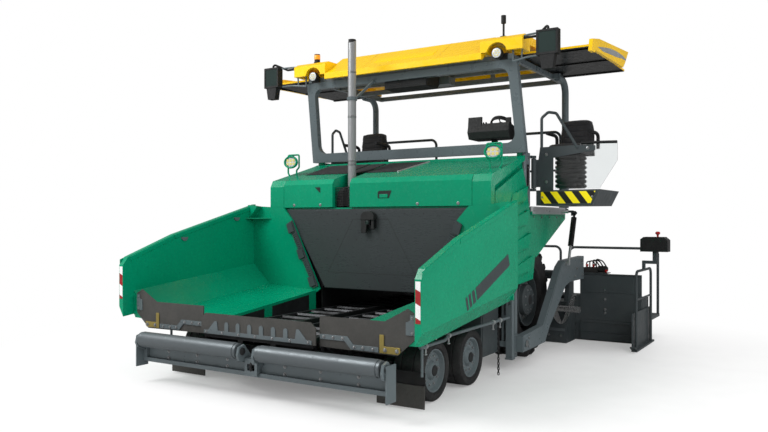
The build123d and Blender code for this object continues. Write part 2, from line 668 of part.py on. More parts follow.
def roof_shell():
    """Moulded roof: raised middle with a sloped nose, lower flanks with lamp blocks at the front."""
    def hollow(points, low, high, skin):
        inner = [(a, b) for a, b in skin]
        return prism("x", points, low, high) - prism("x", inner, low + shell_thick, high - shell_thick)
    t = shell_thick
    top = roof_top
    middle = [(roof_front_y, top - 340), (roof_front_y, top - 265), (40, top), (1350, top - 25),
              (roof_rear_y, top - 85), (roof_rear_y, top - 190), (1560, top - 190), (-150, top - 190), (-340, top - 340)]
    inner = [(roof_front_y + t, top - 350), (roof_front_y + t, top - 270), (50, top - t), (1345, top - 25 - t),
             (roof_rear_y - t, top - 118), (roof_rear_y - t, top - 200), (-160, top - 200), (-300, top - 350)]
    shell = hollow(middle, -1110, 1110, inner)
    flank = [(roof_front_y, top - 270), (roof_front_y, top - 140), (-300, top - 95), (1500, top - 95),
             (roof_rear_y, top - 130), (roof_rear_y, top - 190), (-140, top - 190), (-140, top - 270)]
    under = [(roof_front_y + t, top - 280), (roof_front_y + t, top - 150), (-290, top - 95 - t),
             (1490, top - 95 - t), (roof_rear_y - t, top - 160), (roof_rear_y - t, top - 200),
             (-140 - t, top - 200), (-140 - t, top - 280)]
    side = hollow(flank, 1100, roof_half, under)
    side -= rod("y", 125, roof_front_y - 1, roof_front_y + t + 1, 1300, top - 295)
    shell += side + right(side)
    shell += box((-705, 705), (380, 460), (top - 130, top - 40)) + box((-705, 705), (930, 1010), (top - 130, top - 45))
    save("roof_shell", shell)


def lamp(x, y, z):
    """Round lamp head that faces forward, with its housing behind."""
    return rod("y", 62, y - 28, y + 30, x, z) + rod("y", 40, y + 30, y + 60, x, z)


def lamps():
    """Work lamps under the roof's corners and inside the guards on the hood, and the roof's beacon."""
    x, y, z = 1300, roof_front_y + 30, roof_top - 290
    upper = lamp(x, y, z) + box((x - 15, x + 15), (y + 60, y + 90), (z - 15, z + 15))
    upper += box((x - 15, x + 95), (y + 90, y + 110), (z - 60, z + 15))
    x, y, z = guard_x, guard_y, hood_slope(guard_y) + 175
    lower = lamp(x - 5, y - 12, z) + box((x - 15, x + 5), (y - 10, y + 10), (z + 40, hood_slope(guard_y) + 259 - seat_gap))
    flank_top = roof_top - 95
    beacon = rod("z", 45, flank_top, flank_top + 20, -1330, -240)
    beacon += rod("z", 38, flank_top + 20, flank_top + 125, -1330, -240)
    save("lamps", *both(upper, lower), beacon)


def antenna():
    """Mast with a grey head on the roof's left corner."""
    x, y, z = 1330, -240, roof_top - 95
    mast = rod("z", 40, z, z + 15, x, y) + rod("z", 12, z + 15, z + 165, x, y)
    return mast + rod("z", 28, z + 165, z + 255, x, y)


def awnings():
    """Side canopies that draw out from under the roof flanks, each with a fin as its end cap."""
    z = frame_top + 12 + seat_gap
    sheet = box((1400, awning_out - 40), (-90, 1500), (z, z + 24))
    for y in (0, 700, 1420):
        sheet += box((1400, awning_out - 40), (y, y + 40), (z - 12, z))
    rise = [(-110, -40), (-60, 100), (200, 150), (1300, 240), (1540, 260), (1380, 100), (1280, 20), (300, 0),
            (60, -10), (0, -40)]
    cap = [(a, frame_top + b) for a, b in rise]
    save_pair("awning", sheet + prism("x", cap, awning_out - 40, awning_out))


def mirrors():
    """Square mirror heads on bent arms from the roof's front corners."""
    x, y, z = 1925, -440, roof_top - 260
    head = box((x - 120, x + 120), (y - 45, y + 55), (z - 135, z + 135))
    head -= box((x - 100, x + 100), (y - 46, y - 36), (z - 112, z + 112))
    low = prism("y", [(x - 85, z - 135), (x + 85, z - 135), (x + 60, z - 290), (x - 60, z - 290)], y - 40, y + 50)
    arm = tube([(roof_half, -330, z + 110), (roof_half + 150, -330, z + 110), (x, y + 5, z + 190), (x, y + 5, z + 130)],
               14, 25)
    save("mirrors_and_mast", *both(fused(head, low, arm)), antenna())


guard_x, guard_y = 1405, -660


def light_guards():
    """Bent tube guards for the lamps on the hood's shoulders."""
    x, y, foot = guard_x, guard_y, hood_slope(guard_y)
    route = [(x - 60, foot - 20), (x - 60, foot + 70), (x - 100, foot + 110), (x - 100, foot + 270),
             (x + 78, foot + 270), (x + 78, foot + 40), (x + 40, foot - 20)]
    return both(tube([(a, y, b) for a, b in route], 11, 22))


# ---------------------------------------------------------------- platform, console and seats
tray_out = 2300
pane_thick = 8
rest_centre = (-1080, 530)      # seat centre of the unit that rests swung in


def platform():
    """Deck with its step bars, fenders, seat columns and the rail across the rear."""
    deck = box((-body_half, body_half), (25, deck_rear_y), (deck_top - deck_thick, deck_top))
    for s in (-1, 1):
        low, high = sorted((s * (body_half - 35), s * (body_half + 1)))
        deck -= box((low, high), (20, 165), (deck_top - deck_thick - 1, deck_top + 1))
    parts = [deck, *both(box((body_half - 105, body_half - 35), (25, 61), (deck_top - 1, deck_top + foot_pad)),
                         box((post_x - 57, body_half), (post_y - 48, post_y + 48), (deck_top - 1, deck_top + foot_pad)))]
    fender = [(175, 1750), (1500, 1750), (1500, 1660), (400, 1200), (352, 1216)]
    column = box((1385, 1463), (74, 170), (deck_top, portal_foot_z))
    for z in (1990, 2380):
        column += box((1440, seat_pin_x), (160, seat_pin_y), (z, z + 30))
        column += rod("z", 30, z, z + 30, seat_pin_x, seat_pin_y)
    column += rod("z", 15, 1990, 2410, seat_pin_x, seat_pin_y)
    side = [prism("x", fender, 1470, 1485), column,
            box((body_half - 30, body_half + 12), (190, 1430), (deck_top - 90, deck_top + 8)),
            lift_bracket()]
    for s in (1, -1):
        parts += [shape if s > 0 else right(shape) for shape in side]
    rail_y = deck_rear_y - 45
    for x in (480, -480):
        out = 925 if x > 0 else -925
        parts.append(tube([(x, rail_y, deck_top), (x, rail_y, 2840), (x + out, rail_y, 2840),
                           (x + out, rail_y, deck_top)], 19, 90))
        parts.append(rod("x", 15, min(x, x + out), max(x, x + out), rail_y, 2320))
    return save("platform", fused(*parts))


def lift_bracket():
    """Bracket out from the deck's edge with the top pin of the lift cylinder."""
    y, z = lift_top
    bracket = box((body_half - 10, 1654), (y - 25, y + 25), (1745, 1775))
    bracket += prism("x", [(y - 35, 1775), (y + 35, 1775), (y + 30, 1705), (y - 30, 1705)], 1638, 1654)
    return bracket + rod("x", 15, 1640, lift_x + 30, y, z)


def console():
    """Driver's console on a post, carried by a shoe that slides along the rail behind the cowl."""
    x0, x1 = 830, 1350
    mid = (x0 + x1) / 2
    body = prism("x", [(-150, 2690), (-110, 2610), (180, 2610), (238, 2650), (238, 2690), (120, 2735), (-120, 2790)],
                 x0, x1, radius=12)
    body += prism("x", [(-118, 2870), (-138, 2700), (-98, 2700), (-88, 2870)], x0, x0 + 170)
    body += box((x1 - 70, x1 - 10), (-60, -30), (2700, 2850)) + box((x0, x0 + 60), (150, 236), (2640, 2740))
    wheel = Pos(x1 - 190, 95, 2795) * Rotation(-28, 0, 0) * (Torus(120, 12) + Cylinder(34, 22) + Box(236, 22, 12))
    body += wheel + rod("z", 20, 2700, 2795, x1 - 190, 95)
    low_y, high_y = console_rail_y
    low_z, high_z = console_rail_z
    body += rod("z", 32, high_z + 30, 2612, mid, (low_y + high_y) / 2)
    body += box((mid - 110, mid + 110), (low_y - 2, high_y + 22), (high_z + seat_gap, high_z + 32))
    body += box((mid - 110, mid + 110), (high_y + 2, high_y + 22), (low_z - 14, high_z + 2))
    save("console", body)


def swung_in(shape):
    """Turn a right-hand shape from its outward place to its inward one round the seat pin."""
    pin = Pos(-seat_pin_x, seat_pin_y, 0)
    return pin * Rotation(0, 0, -90) * pin.inverse() * shape


def seat_unit():
    """Swinging seat bay: striped tray, bracket plate with its barrel, and a bent handrail."""
    x0, y0, y1 = 1550, 222, 1070
    tray = prism("y", [(x0, 1820), (tray_out - 90, 1820), (tray_out, 2000), (x0, 2000)], y0, y1)
    tray -= prism("y", [(x0 + 14, 1834), (tray_out - 104, 1834), (tray_out - 27, 1988), (x0 + 14, 1988)],
                  y0 + 14, y1 + 1)
    tray += prism("z", [(x0 + 200, y1 - 12), (x0 + 560, y1 - 12), (x0 + 560, y1), (x0 + 200, y1)], 1834, 1988)
    plate_y = (262, 280)
    bracket = prism("y", [(1505, 2040), (1583, 2040), (1583, 1995), (1741, 1995), (1741, 2380), (2233, 2446),
                          (2233, 2500), (1991, 2516), (1583, 2510), (1563, 2365), (1505, 2365)], *plate_y)
    bracket += box((1500, 1545), (seat_pin_y + 5, plate_y[1]), (2040, 2365))
    bracket += rod("z", 30, 2025, 2375, seat_pin_x, seat_pin_y)
    bracket -= rod("z", 15 + pin_gap, 1900, 2500, seat_pin_x, seat_pin_y)
    y = sum(plate_y) / 2
    rail = tube([(1600, y, 2490), (1600, y, 2858), (1680, y, 2921), (1777, y, 2902), (2030, y, 2480)], 17, 45)
    unit = tray + bracket + rail
    save("seat_unit_left", unit)
    save("seat_unit_right", swung_in(right(unit)))


def seat_panes():
    """Glass guard in front of each seat, clamped to the back of the bracket plate."""
    y = 280
    pane = prism("y", [(2062, 2541), (2480, 2530), (2480, 2324), (2278, 2010), (1760, 2010), (1760, 2400), (2062, 2440)],
                 y, y + pane_thick)
    save("seat_pane_left", pane)
    save("seat_pane_right", swung_in(right(pane)))


def seats():
    """Suspension seats on bellows that swivel on their trays."""
    seat = rod("z", 110, 2000 + seat_gap, 2020, 0, 0) + box((-165, 165), (-170, 170), (2020, 2440))
    seat += prism("x", [(-245, 2440), (-245, 2520), (-220, 2555), (240, 2540), (240, 2440)], -235, 235, radius=14)
    seat += prism("x", [(180, 2450), (250, 2880), (290, 2895), (330, 2880), (300, 2450)], -230, 230, radius=12)
    for s in (-1, 1):
        low, high = sorted((s * 236, s * 282))
        seat += prism("x", [(-90, 2660), (-90, 2700), (250, 2705), (270, 2600), (225, 2600), (215, 2655)], low, high)
        low, high = sorted((s * 225, s * 245))
        seat += box((low, high), (215, 265), (2560, 2640))
    save("seat_left", Pos(1830, 660, 0) * seat)
    save("seat_right", Pos(*rest_centre, 0) * seat)


# ---------------------------------------------------------------- tow gear and lift cylinders
def tow_rails():
    """Upright guides beside the body and the barrels of the levelling cylinders."""
    low, high = rail_x - 30, rail_x + 30
    rail = box((low, high), (-400, -330), (120, 900)) + box((frame_half - 10, low), (-400, -340), (440, 540))
    rail += box((1400, high), (-400, -340), (880, 900))
    barrel = rod("z", 42, 780, 1260, levelling_x, levelling_y)
    bore = rod("z", 18 + pin_gap, 700, 1235, levelling_x, levelling_y)
    return rail, barrel, bore


def tow_carriages():
    """Shoes that slide on the guides, each with the tow pin and the levelling rod."""
    x = rail_x + 32
    shoe = box((x, x + 16), (-450, -290), (180, 370))
    shoe += box((rail_x - 30, x), (-450, -402), (180, 370)) + box((rail_x - 30, x), (-328, -290), (180, 370))
    shoe += box((levelling_x - 25, rail_x + 10), (-510, -440), (250, 310))
    shoe += rod("z", 18, 300, 960, levelling_x, levelling_y)
    shoe += rod("x", 30, x + 10, tow_x + tow_arm_w + 12, tow_pin_y, tow_pin_z)
    save("tow_carriages", *both(shoe))


def tow_arms():
    """Cranked plate arms from the tow pins back to the screed."""
    outline = [(-420, 370), (230, 410), (870, 1060), (1020, 1135), (1850, 1160), (1850, 850), (1250, 850),
               (1070, 810), (450, 360), (300, 204), (-420, 190)]
    arm = prism("x", outline, tow_x, tow_x + tow_arm_w)
    save("tow_arms", *both(arm - rod("x", 30 + pin_gap, tow_x - 1, tow_x + tow_arm_w + 1, tow_pin_y, tow_pin_z)))


def lift_cylinders():
    """Cylinders between the platform brackets and the arms; the rods end in eyes with short pins."""
    (ty, tz), (ey, ez) = lift_top, lift_eye
    span = ((ty - ey) ** 2 + (tz - ez) ** 2) ** 0.5
    lean = degrees(atan2(ty - ey, tz - ez))
    place = Pos(lift_x, ty, tz) * Rotation(-lean, 0, 0)

    def along(radius, start, end):
        return Pos(0, 0, -(start + end) / 2) * Cylinder(radius, end - start)

    barrel = along(35, 64, 450) + along(15, 20, 66) - along(17 + pin_gap, 92, 451)
    barrel += Rotation(0, 90, 0) * Cylinder(28, 32)
    barrel -= Rotation(0, 90, 0) * Cylinder(15 + pin_gap, 40)
    save("lift_barrels", *both(place * barrel))
    rods = place * (along(17, 210, span) + Pos(0, 0, -span) * Rotation(0, 90, 0) * Cylinder(26, 30))
    inner = tow_x + tow_arm_w + seat_gap
    rods += rod("x", 14, inner, lift_x, ey, ez)
    save("lift_rods", *both(rods))


# ---------------------------------------------------------------- augers
def auger_hangers():
    """Centre gearbox and inner bearings of the augers under the rear body."""
    y, z = auger_y, auger_z
    parts = [box((-900, 900), (1100, y + 50), (tunnel_top, 960)), box((-62, 62), (y - 55, y + 55), (z - 110, 900))]
    for x in (-740, 740):
        hanger = box((x - 10, x + 10), (y - 45, y + 45), (z - 20, 900)) + rod("x", 62, x - 10, x + 10, y, z)
        parts.append(hanger - rod("x", 38 + pin_gap, x - 20, x + 20, y, z))
    return parts


def augers():
    """Left-hand and right-hand augers, each shaft with flights laid as tilted half discs."""
    y, z = auger_y, auger_z
    shaft_r, pitch = 38, 300
    inner = 62 + gap
    auger = rod("x", shaft_r, inner, auger_half, y, z)
    tilt = degrees(atan(pitch / 4 / auger_r))
    spans = ((inner + 90, 645), (835, auger_half - 80))
    for start, end in spans:
        x, row = start, 0
        while x <= end:
            disc = Pos(x, y, z) * Rotation(0, 90 + (tilt if row % 2 else -tilt), 0) * Cylinder(auger_r, 12)
            side = (y, y + 300) if row % 2 else (y - 300, y)
            auger += disc & box((x - 200, x + 200), side, (z - 300, z + 300))
            x, row = x + pitch / 2, row + 1
    save_pair("auger", auger)


# ---------------------------------------------------------------- screed
rail_zs = (150, 480)            # heights of the two slide rails behind the basic screed


def screed():
    """Basic screed with its sole plate, towers to the arms, slide rails and the centre walkway."""
    back = screed_front_y + screed_depth
    parts = [box((-screed_half, screed_half), (screed_front_y, back), (screed_plate_h, 560)),
             box((-screed_half, screed_half), (screed_front_y + 10, back), (0, screed_plate_h)),
             rod("x", 60, -1450, 1450, 1720, 900)]
    for z in rail_zs:
        parts.append(box((-screed_half, screed_half), (back, back + 18), (z, z + 50)))
    tower = prism("x", [(1600, 560), (1700, 1120), (1850, 1120), (1850, 560)], 1440, screed_half)
    tower += box((screed_half - 10, tow_x), (1700, 1850), (870, 1110))
    parts += both(tower)
    for x in (-300, 300):
        parts.append(prism("x", [(1760, 540), (1700, 940), (1700, 1000), (2400, 1000), (2400, 362), (2362, 362),
                                 (2362, 950), (1760, 950), (1820, 540)], x - 25, x + 25))
    parts.append(box((-940, 940), (2362, rear_y - 60), (360, 400)))
    rail_y = rear_y - 82
    rail = [(-920, rail_y, 390), (-920, rail_y, 1240), (920, rail_y, 1240), (920, rail_y, 390)]
    parts.append(tube(rail, 19, 90))
    save("screed", fused(*parts))


def extensions():
    """Hydraulic extensions with their strike-off plate, sole, walkway and shoes on the slide rails."""
    inner, back = screed_out - extension_len, 1940 + extension_depth
    body = box((inner, screed_out), (1940, back), (screed_plate_h, 600))
    body += box((inner, screed_out), (1948, back), (0, screed_plate_h))
    body += box((1560, screed_out), (1925, 1940), (30, 920)) + box((inner, screed_out), (1925, 1940), (230, 440))
    rail_back = screed_front_y + screed_depth + 18
    for z in rail_zs:
        shoe = box((inner + 10, inner + 400), (rail_back + seat_gap, 1941), (z - 20, z + 70))
        body += shoe
    body += box((inner + 60, screed_out - 10), (back - 10, rear_y), (250, 290))
    for x in (inner + 120, screed_out - 80):
        body += prism("x", [(back - 5, 290), (back - 5, 150), (rear_y - 200, 252)], x, x + 12)
    rail = [(inner + 90, rear_y - 22, 280), (inner + 90, rear_y - 22, 1230), (screed_out - 30, rear_y - 22, 1230),
            (screed_out - 30, rear_y - 22, 280)]
    body += tube(rail, 19, 90)
    for y in (1975, 2260):
        body += box((screed_out - 1, screed_out + gap - seat_gap), (y, y + 45), (90, 560))
    save_pair("extension", body)


def end_gates():
    """Side plates that hold the mat's edge, each with a runner, a tube frame and an outer console."""
    x = screed_out + gap
    gate = box((x, x + 12), (1345, 2338), (20, 470)) + box((x, x + 70), (1338, 2345), (0, 22))
    gate += prism("x", [(1338, 20), (1250, 60), (1250, 75), (1338, 45)], x, x + 70)
    gate += tube([(x + 40, 1420, 15), (x + 40, 1420, 1000), (x + 40, 2260, 1000), (x + 40, 2260, 15)], 17, 80)
    gate += rod("y", 13, 1420, 2260, x + 40, 640)
    gate += box((x + 24, x + 57), (1810, 1870), (990, 1120)) + box((x + 30, 2600), (1815, 1865), (1080, 1120))
    gate += box((2540, 2590), (1815, 1865), (1100, 1240))
    gate += prism("y", [(2400, 1240), (2400, 1400), (2440, 1430), (2690, 1430), (2737, 1390), (2737, 1240)], 1745, 1935)
    save_pair("end_gate", gate)


# ---------------------------------------------------------------- build
def chassis():
    """The welded tractor: frame, body, hinges, beam mount, brackets, tow rails and auger hangers."""
    rail, barrel, bore = tow_rails()
    frame = fused(main_frame(), tractor_body(), *wing_hinges(), *beam_mount(), *apron_carrier(),
                  *deflector_hangers(), *door_hinges(), *both(rail), *both(barrel), *auger_hangers())
    for shape in both(bore):
        frame -= shape
    save("chassis", frame)


front_wheels()
knuckles()
rear_wheels()
save("axle_beams", *front_bogies(), *rear_axle())
chassis()
conveyor_chains()
engine_block()
hopper_wings()
hopper_shield()
wing_flaps()
save("rubber_skirts", apron_flap(), *deflector_skirts())
push_beam()
push_rollers()
hood_base()
hood_lids()
side_doors()
exhaust()
canopy_frame()
roof_shell()
lamps()
awnings()
mirrors()
platform()
console()
seat_unit()
seat_panes()
seats()
tow_carriages()
tow_arms()
lift_cylinders()
augers()
screed()
extensions()
end_gates()
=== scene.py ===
import math
import bpy
import bmesh
from mathutils import Matrix, Vector


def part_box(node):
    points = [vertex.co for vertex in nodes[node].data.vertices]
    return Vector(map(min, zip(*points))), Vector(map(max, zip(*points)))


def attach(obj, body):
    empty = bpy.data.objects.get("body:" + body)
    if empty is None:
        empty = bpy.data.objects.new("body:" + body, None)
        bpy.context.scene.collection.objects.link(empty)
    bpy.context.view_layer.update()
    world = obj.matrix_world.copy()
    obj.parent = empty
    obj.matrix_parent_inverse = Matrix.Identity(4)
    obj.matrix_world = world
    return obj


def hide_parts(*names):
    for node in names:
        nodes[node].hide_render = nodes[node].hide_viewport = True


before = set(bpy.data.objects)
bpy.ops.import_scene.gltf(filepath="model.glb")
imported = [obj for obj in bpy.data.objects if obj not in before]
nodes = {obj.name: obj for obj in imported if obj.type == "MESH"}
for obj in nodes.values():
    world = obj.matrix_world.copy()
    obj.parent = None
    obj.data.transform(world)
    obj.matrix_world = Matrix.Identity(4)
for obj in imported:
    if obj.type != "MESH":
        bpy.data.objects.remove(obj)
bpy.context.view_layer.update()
print("frame loaded")


def addObject(name, data):
    obj = bpy.data.objects.new(name, data)
    bpy.context.scene.collection.objects.link(obj)
    return obj


def meshOf(name, builder):  # the builder's shells as a mesh; the builder is used up
    mesh = bpy.data.meshes.new(name)
    builder.to_mesh(mesh)
    builder.free()
    return mesh


# node groups that several finishes share
# an input with four numbers is a colour, one with three is a vector, a single number is a value
def newGroup(name, inputs, outputs):
    group = bpy.data.node_groups.new(name, "ShaderNodeTree")
    for label, value in inputs.items():
        kind = "Float" if isinstance(value, float) else {3: "Vector", 4: "Color"}[len(value)]
        socket = group.interface.new_socket(name=label, in_out="INPUT", socket_type="NodeSocket" + kind)
        socket.default_value = value
    for label in outputs:
        kind = "NodeSocketColor" if label == "Color" else "NodeSocketFloat"
        group.interface.new_socket(name=label, in_out="OUTPUT", socket_type=kind)
    return group, group.nodes.new("NodeGroupInput"), group.nodes.new("NodeGroupOutput")


def addNode(tree, kind, **settings):
    node = tree.nodes.new(kind)
    for key, value in settings.items():
        if key in node.inputs:
            node.inputs[key].default_value = value
        else:
            setattr(node, key, value)
    return node


def link(source, target):
    target.id_data.links.new(source, target)


def objectPoint(tree):
    return addNode(tree, "ShaderNodeTexCoord").outputs["Object"]


def noiseOf(tree, point, scale, detail=4.0, rough=0.55):
    noise = addNode(tree, "ShaderNodeTexNoise", Scale=scale, Detail=detail, Roughness=rough)
    link(point, noise.inputs["Vector"])
    return noise.outputs["Fac"]


def mathOf(tree, operation, first, second=None, clamp=False):
    node = addNode(tree, "ShaderNodeMath", operation=operation, use_clamp=clamp)
    for socket, value in zip(node.inputs, (first, second)):
        if value is None:
            continue
        if isinstance(value, (int, float)):
            socket.default_value = value
        else:
            link(value, socket)
    return node.outputs[0]


def rangeOf(tree, value, fromLow, fromHigh, toLow=0.0, toHigh=1.0):
    node = addNode(tree, "ShaderNodeMapRange")
    link(value, node.inputs["Value"])
    for label, amount in (("From Min", fromLow), ("From Max", fromHigh), ("To Min", toLow), ("To Max", toHigh)):
        node.inputs[label].default_value = amount
    return node.outputs["Result"]


# colour mix: first where mask is 0, second where it is 1. Colours are sockets or 4 numbers
def blendOf(tree, mask, first, second):
    node = addNode(tree, "ShaderNodeMix", data_type="RGBA")
    for socket, value in ((node.inputs[0], mask), (node.inputs[6], first), (node.inputs[7], second)):
        if isinstance(value, (tuple, list, float, int)):
            socket.default_value = value
        else:
            link(value, socket)
    return node.outputs[2]


surfaceOutputs = ("Color", "Roughness", "Height")


# panel paint: slow tone changes, fine orange peel, road film that grows towards the ground
def makePaintGroup():
    tree, entry, leave = newGroup("panelPaint", {
        "Tone": (0.5, 0.5, 0.5, 1), "Film": (0.25, 0.23, 0.2, 1), "Film amount": 0.3, "Gloss": 0.3, "Peel": 260.0},
        surfaceOutputs)
    point = objectPoint(tree)
    slow = rangeOf(tree, noiseOf(tree, point, 0.9, 3.0), 0.3, 0.7, 0.88, 1.06)
    toned = addNode(tree, "ShaderNodeVectorMath", operation="SCALE")
    link(entry.outputs["Tone"], toned.inputs[0])
    link(slow, toned.inputs["Scale"])
    low = addNode(tree, "ShaderNodeSeparateXYZ")
    link(point, low.inputs[0])
    near = rangeOf(tree, low.outputs["Z"], 1.7, 0.1)
    patches = rangeOf(tree, noiseOf(tree, point, 5.0, 8.0, 0.65), 0.42, 0.72)
    film = mathOf(tree, "MULTIPLY", mathOf(tree, "MULTIPLY", near, patches), entry.outputs["Film amount"], True)
    link(blendOf(tree, film, toned.outputs[0], entry.outputs["Film"]), leave.inputs["Color"])
    smear = rangeOf(tree, noiseOf(tree, point, 14.0, 5.0), 0.3, 0.75, -0.06, 0.1)
    rough = mathOf(tree, "ADD", entry.outputs["Gloss"], smear)
    link(mathOf(tree, "ADD", rough, mathOf(tree, "MULTIPLY", film, 0.5), True), leave.inputs["Roughness"])
    peel = addNode(tree, "ShaderNodeTexNoise", Detail=2.0)
    link(point, peel.inputs["Vector"])
    link(entry.outputs["Peel"], peel.inputs["Scale"])
    link(peel.outputs["Fac"], leave.inputs["Height"])
    return tree


# moulded rubber: fine grain, worn pale patches and dust in the low places
def makeRubberGroup():
    tree, entry, leave = newGroup("mouldedRubber", {
        "Tone": (0.03, 0.03, 0.03, 1), "Dust": (0.2, 0.18, 0.16, 1), "Dust amount": 0.3, "Grain": 160.0},
        surfaceOutputs)
    point = objectPoint(tree)
    dust = rangeOf(tree, noiseOf(tree, point, 7.0, 9.0, 0.7), 0.45, 0.8)
    mask = mathOf(tree, "MULTIPLY", dust, entry.outputs["Dust amount"], True)
    link(blendOf(tree, mask, entry.outputs["Tone"], entry.outputs["Dust"]), leave.inputs["Color"])
    link(rangeOf(tree, noiseOf(tree, point, 40.0, 4.0), 0.3, 0.7, 0.62, 0.85), leave.inputs["Roughness"])
    grain = addNode(tree, "ShaderNodeTexVoronoi")
    link(point, grain.inputs["Vector"])
    link(entry.outputs["Grain"], grain.inputs["Scale"])
    link(mathOf(tree, "MULTIPLY", grain.outputs["Distance"], 0.6), leave.inputs["Height"])
    return tree


# bare metal: drawn grain along an axis set by Stretch, with dull and bright patches
def makeMetalGroup():
    tree, entry, leave = newGroup("drawnMetal", {
        "Tone": (0.5, 0.5, 0.5, 1), "Stain": (0.2, 0.19, 0.18, 1), "Stain amount": 0.3, "Gloss": 0.3,
        "Stretch": (1.0, 1.0, 1.0)}, surfaceOutputs)
    point = objectPoint(tree)
    pulled = addNode(tree, "ShaderNodeVectorMath", operation="MULTIPLY")
    link(point, pulled.inputs[0])
    link(entry.outputs["Stretch"], pulled.inputs[1])
    grain = noiseOf(tree, pulled.outputs[0], 90.0, 5.0)
    stain = rangeOf(tree, noiseOf(tree, point, 3.5, 8.0, 0.7), 0.45, 0.75)
    mask = mathOf(tree, "MULTIPLY", stain, entry.outputs["Stain amount"], True)
    link(blendOf(tree, mask, entry.outputs["Tone"], entry.outputs["Stain"]), leave.inputs["Color"])
    rough = mathOf(tree, "ADD", entry.outputs["Gloss"], rangeOf(tree, grain, 0.3, 0.7, -0.06, 0.1))
    link(mathOf(tree, "ADD", rough, mathOf(tree, "MULTIPLY", mask, 0.35), True), leave.inputs["Roughness"])
    link(grain, leave.inputs["Height"])
    return tree


# 1 inside a box given by its low and high corners; the left and right halves count alike
def makeZoneGroup():
    tree, entry, leave = newGroup("zoneMask", {"Low": (0, 0, 0), "High": (1, 1, 1)}, ("Mask",))
    split = addNode(tree, "ShaderNodeSeparateXYZ")
    link(objectPoint(tree), split.inputs[0])
    across = mathOf(tree, "ABSOLUTE", split.outputs["X"])
    values = {"X": across, "Y": split.outputs["Y"], "Z": split.outputs["Z"]}
    result = None
    for label, operation in (("Low", "GREATER_THAN"), ("High", "LESS_THAN")):
        edges = addNode(tree, "ShaderNodeSeparateXYZ")
        link(entry.outputs[label], edges.inputs[0])
        for name, value in values.items():
            test = mathOf(tree, operation, value, edges.outputs[name])
            result = test if result is None else mathOf(tree, "MULTIPLY", result, test)
    link(result, leave.inputs["Mask"])
    return tree


# even stripes across a direction, in two colours with scuffed edges
def makeStripeGroup():
    tree, entry, leave = newGroup("stripeTape", {
        "Direction": (1, 0, 0), "Width": 0.1, "Shift": 0.0, "First": (1, 1, 1, 1), "Second": (0, 0, 0, 1)},
        ("Color", "Mask"))
    point = objectPoint(tree)
    along = addNode(tree, "ShaderNodeVectorMath", operation="DOT_PRODUCT")
    link(point, along.inputs[0])
    link(entry.outputs["Direction"], along.inputs[1])
    moved = mathOf(tree, "ADD", along.outputs["Value"], entry.outputs["Shift"])
    cell = mathOf(tree, "FRACT", mathOf(tree, "DIVIDE", moved, mathOf(tree, "MULTIPLY", entry.outputs["Width"], 2.0)))
    mask = mathOf(tree, "GREATER_THAN", cell, 0.5)
    plain = blendOf(tree, mask, entry.outputs["First"], entry.outputs["Second"])
    scuff = rangeOf(tree, noiseOf(tree, point, 22.0, 8.0, 0.7), 0.6, 0.85, 0.0, 0.35)
    link(blendOf(tree, scuff, plain, (0.22, 0.21, 0.2, 1)), leave.inputs["Color"])
    link(mask, leave.inputs["Mask"])
    return tree


groups = {"paint": makePaintGroup(), "rubber": makeRubberGroup(), "metal": makeMetalGroup(),
          "zone": makeZoneGroup(), "stripe": makeStripeGroup()}


def placeGroup(tree, key, **values):
    node = tree.nodes.new("ShaderNodeGroup")
    node.node_tree = groups[key]
    for label, value in values.items():
        node.inputs[label.replace("_", " ")].default_value = value
    return node


def rgb(r, g, b):
    return (r, g, b, 1.0)


finishes = {}


def newMaterial(name):
    material = finishes[name] = bpy.data.materials.new(name)
    material.use_nodes = True
    return material.node_tree, material.node_tree.nodes["Principled BSDF"]


def addRelief(tree, surface, principled, bump, reach):
    relief = addNode(tree, "ShaderNodeBump", Strength=bump, Distance=reach)
    link(surface.outputs["Height"], relief.inputs["Height"])
    link(relief.outputs["Normal"], principled.inputs["Normal"])


def setInputs(principled, values):
    for label, value in values.items():
        principled.inputs[label].default_value = value


# one material: a surface group feeds a Principled shader. zones are (low, high, colour) boxes
def makeFinish(name, kind, bump, reach, zones=(), shader=None, **values):
    tree, principled = newMaterial(name)
    surface = placeGroup(tree, kind, **values)
    if zones:
        tone = values["Tone"]
        for low, high, colour in zones:
            zone = placeGroup(tree, "zone", Low=low, High=high)
            tone = blendOf(tree, zone.outputs["Mask"], tone, colour)
        link(tone, surface.inputs["Tone"])
    link(surface.outputs["Color"], principled.inputs["Base Color"])
    link(surface.outputs["Roughness"], principled.inputs["Roughness"])
    addRelief(tree, surface, principled, bump, reach)
    setInputs(principled, shader or {})
    finishes[name].diffuse_color = values["Tone"]


# finishes
colours = {
    "green": rgb(0.0, 0.265, 0.135), "yellow": rgb(0.9, 0.55, 0.004), "frameGrey": rgb(0.045, 0.056, 0.06),
    "armGrey": rgb(0.105, 0.13, 0.14), "shieldGrey": rgb(0.06, 0.07, 0.073), "black": rgb(0.008, 0.008, 0.009),
    "steel": rgb(0.13, 0.15, 0.16), "silver": rgb(0.5, 0.52, 0.53), "rubber": rgb(0.02, 0.02, 0.021),
    "apron": rgb(0.05, 0.049, 0.045), "brass": rgb(0.36, 0.28, 0.08), "plastic": rgb(0.012, 0.0125, 0.013),
    "cloth": rgb(0.018, 0.018, 0.02), "dust": rgb(0.2, 0.18, 0.16),
}
glossy = {"Coat Weight": 0.12, "Coat Roughness": 0.1, "Specular IOR Level": 0.3}
# awning underside zone: a black underside, painted darker than plain black as painted shade under the awning
awningZones = (((1.2, -0.2, 3.3), (2.262, 1.6, 3.5535), rgb(0.003, 0.003, 0.003)),)
shieldZones = (((-1.0, -1.06, 1.555), (0.0856, -0.9945, 1.695), colours["black"]),)
gateZones = (((2.39, 1.74, 1.225), (2.75, 1.945, 1.45), colours["plastic"]),)
railZones = (((1.464, -0.405, 0.12), (1.535, -0.325, 0.905), colours["armGrey"]),)
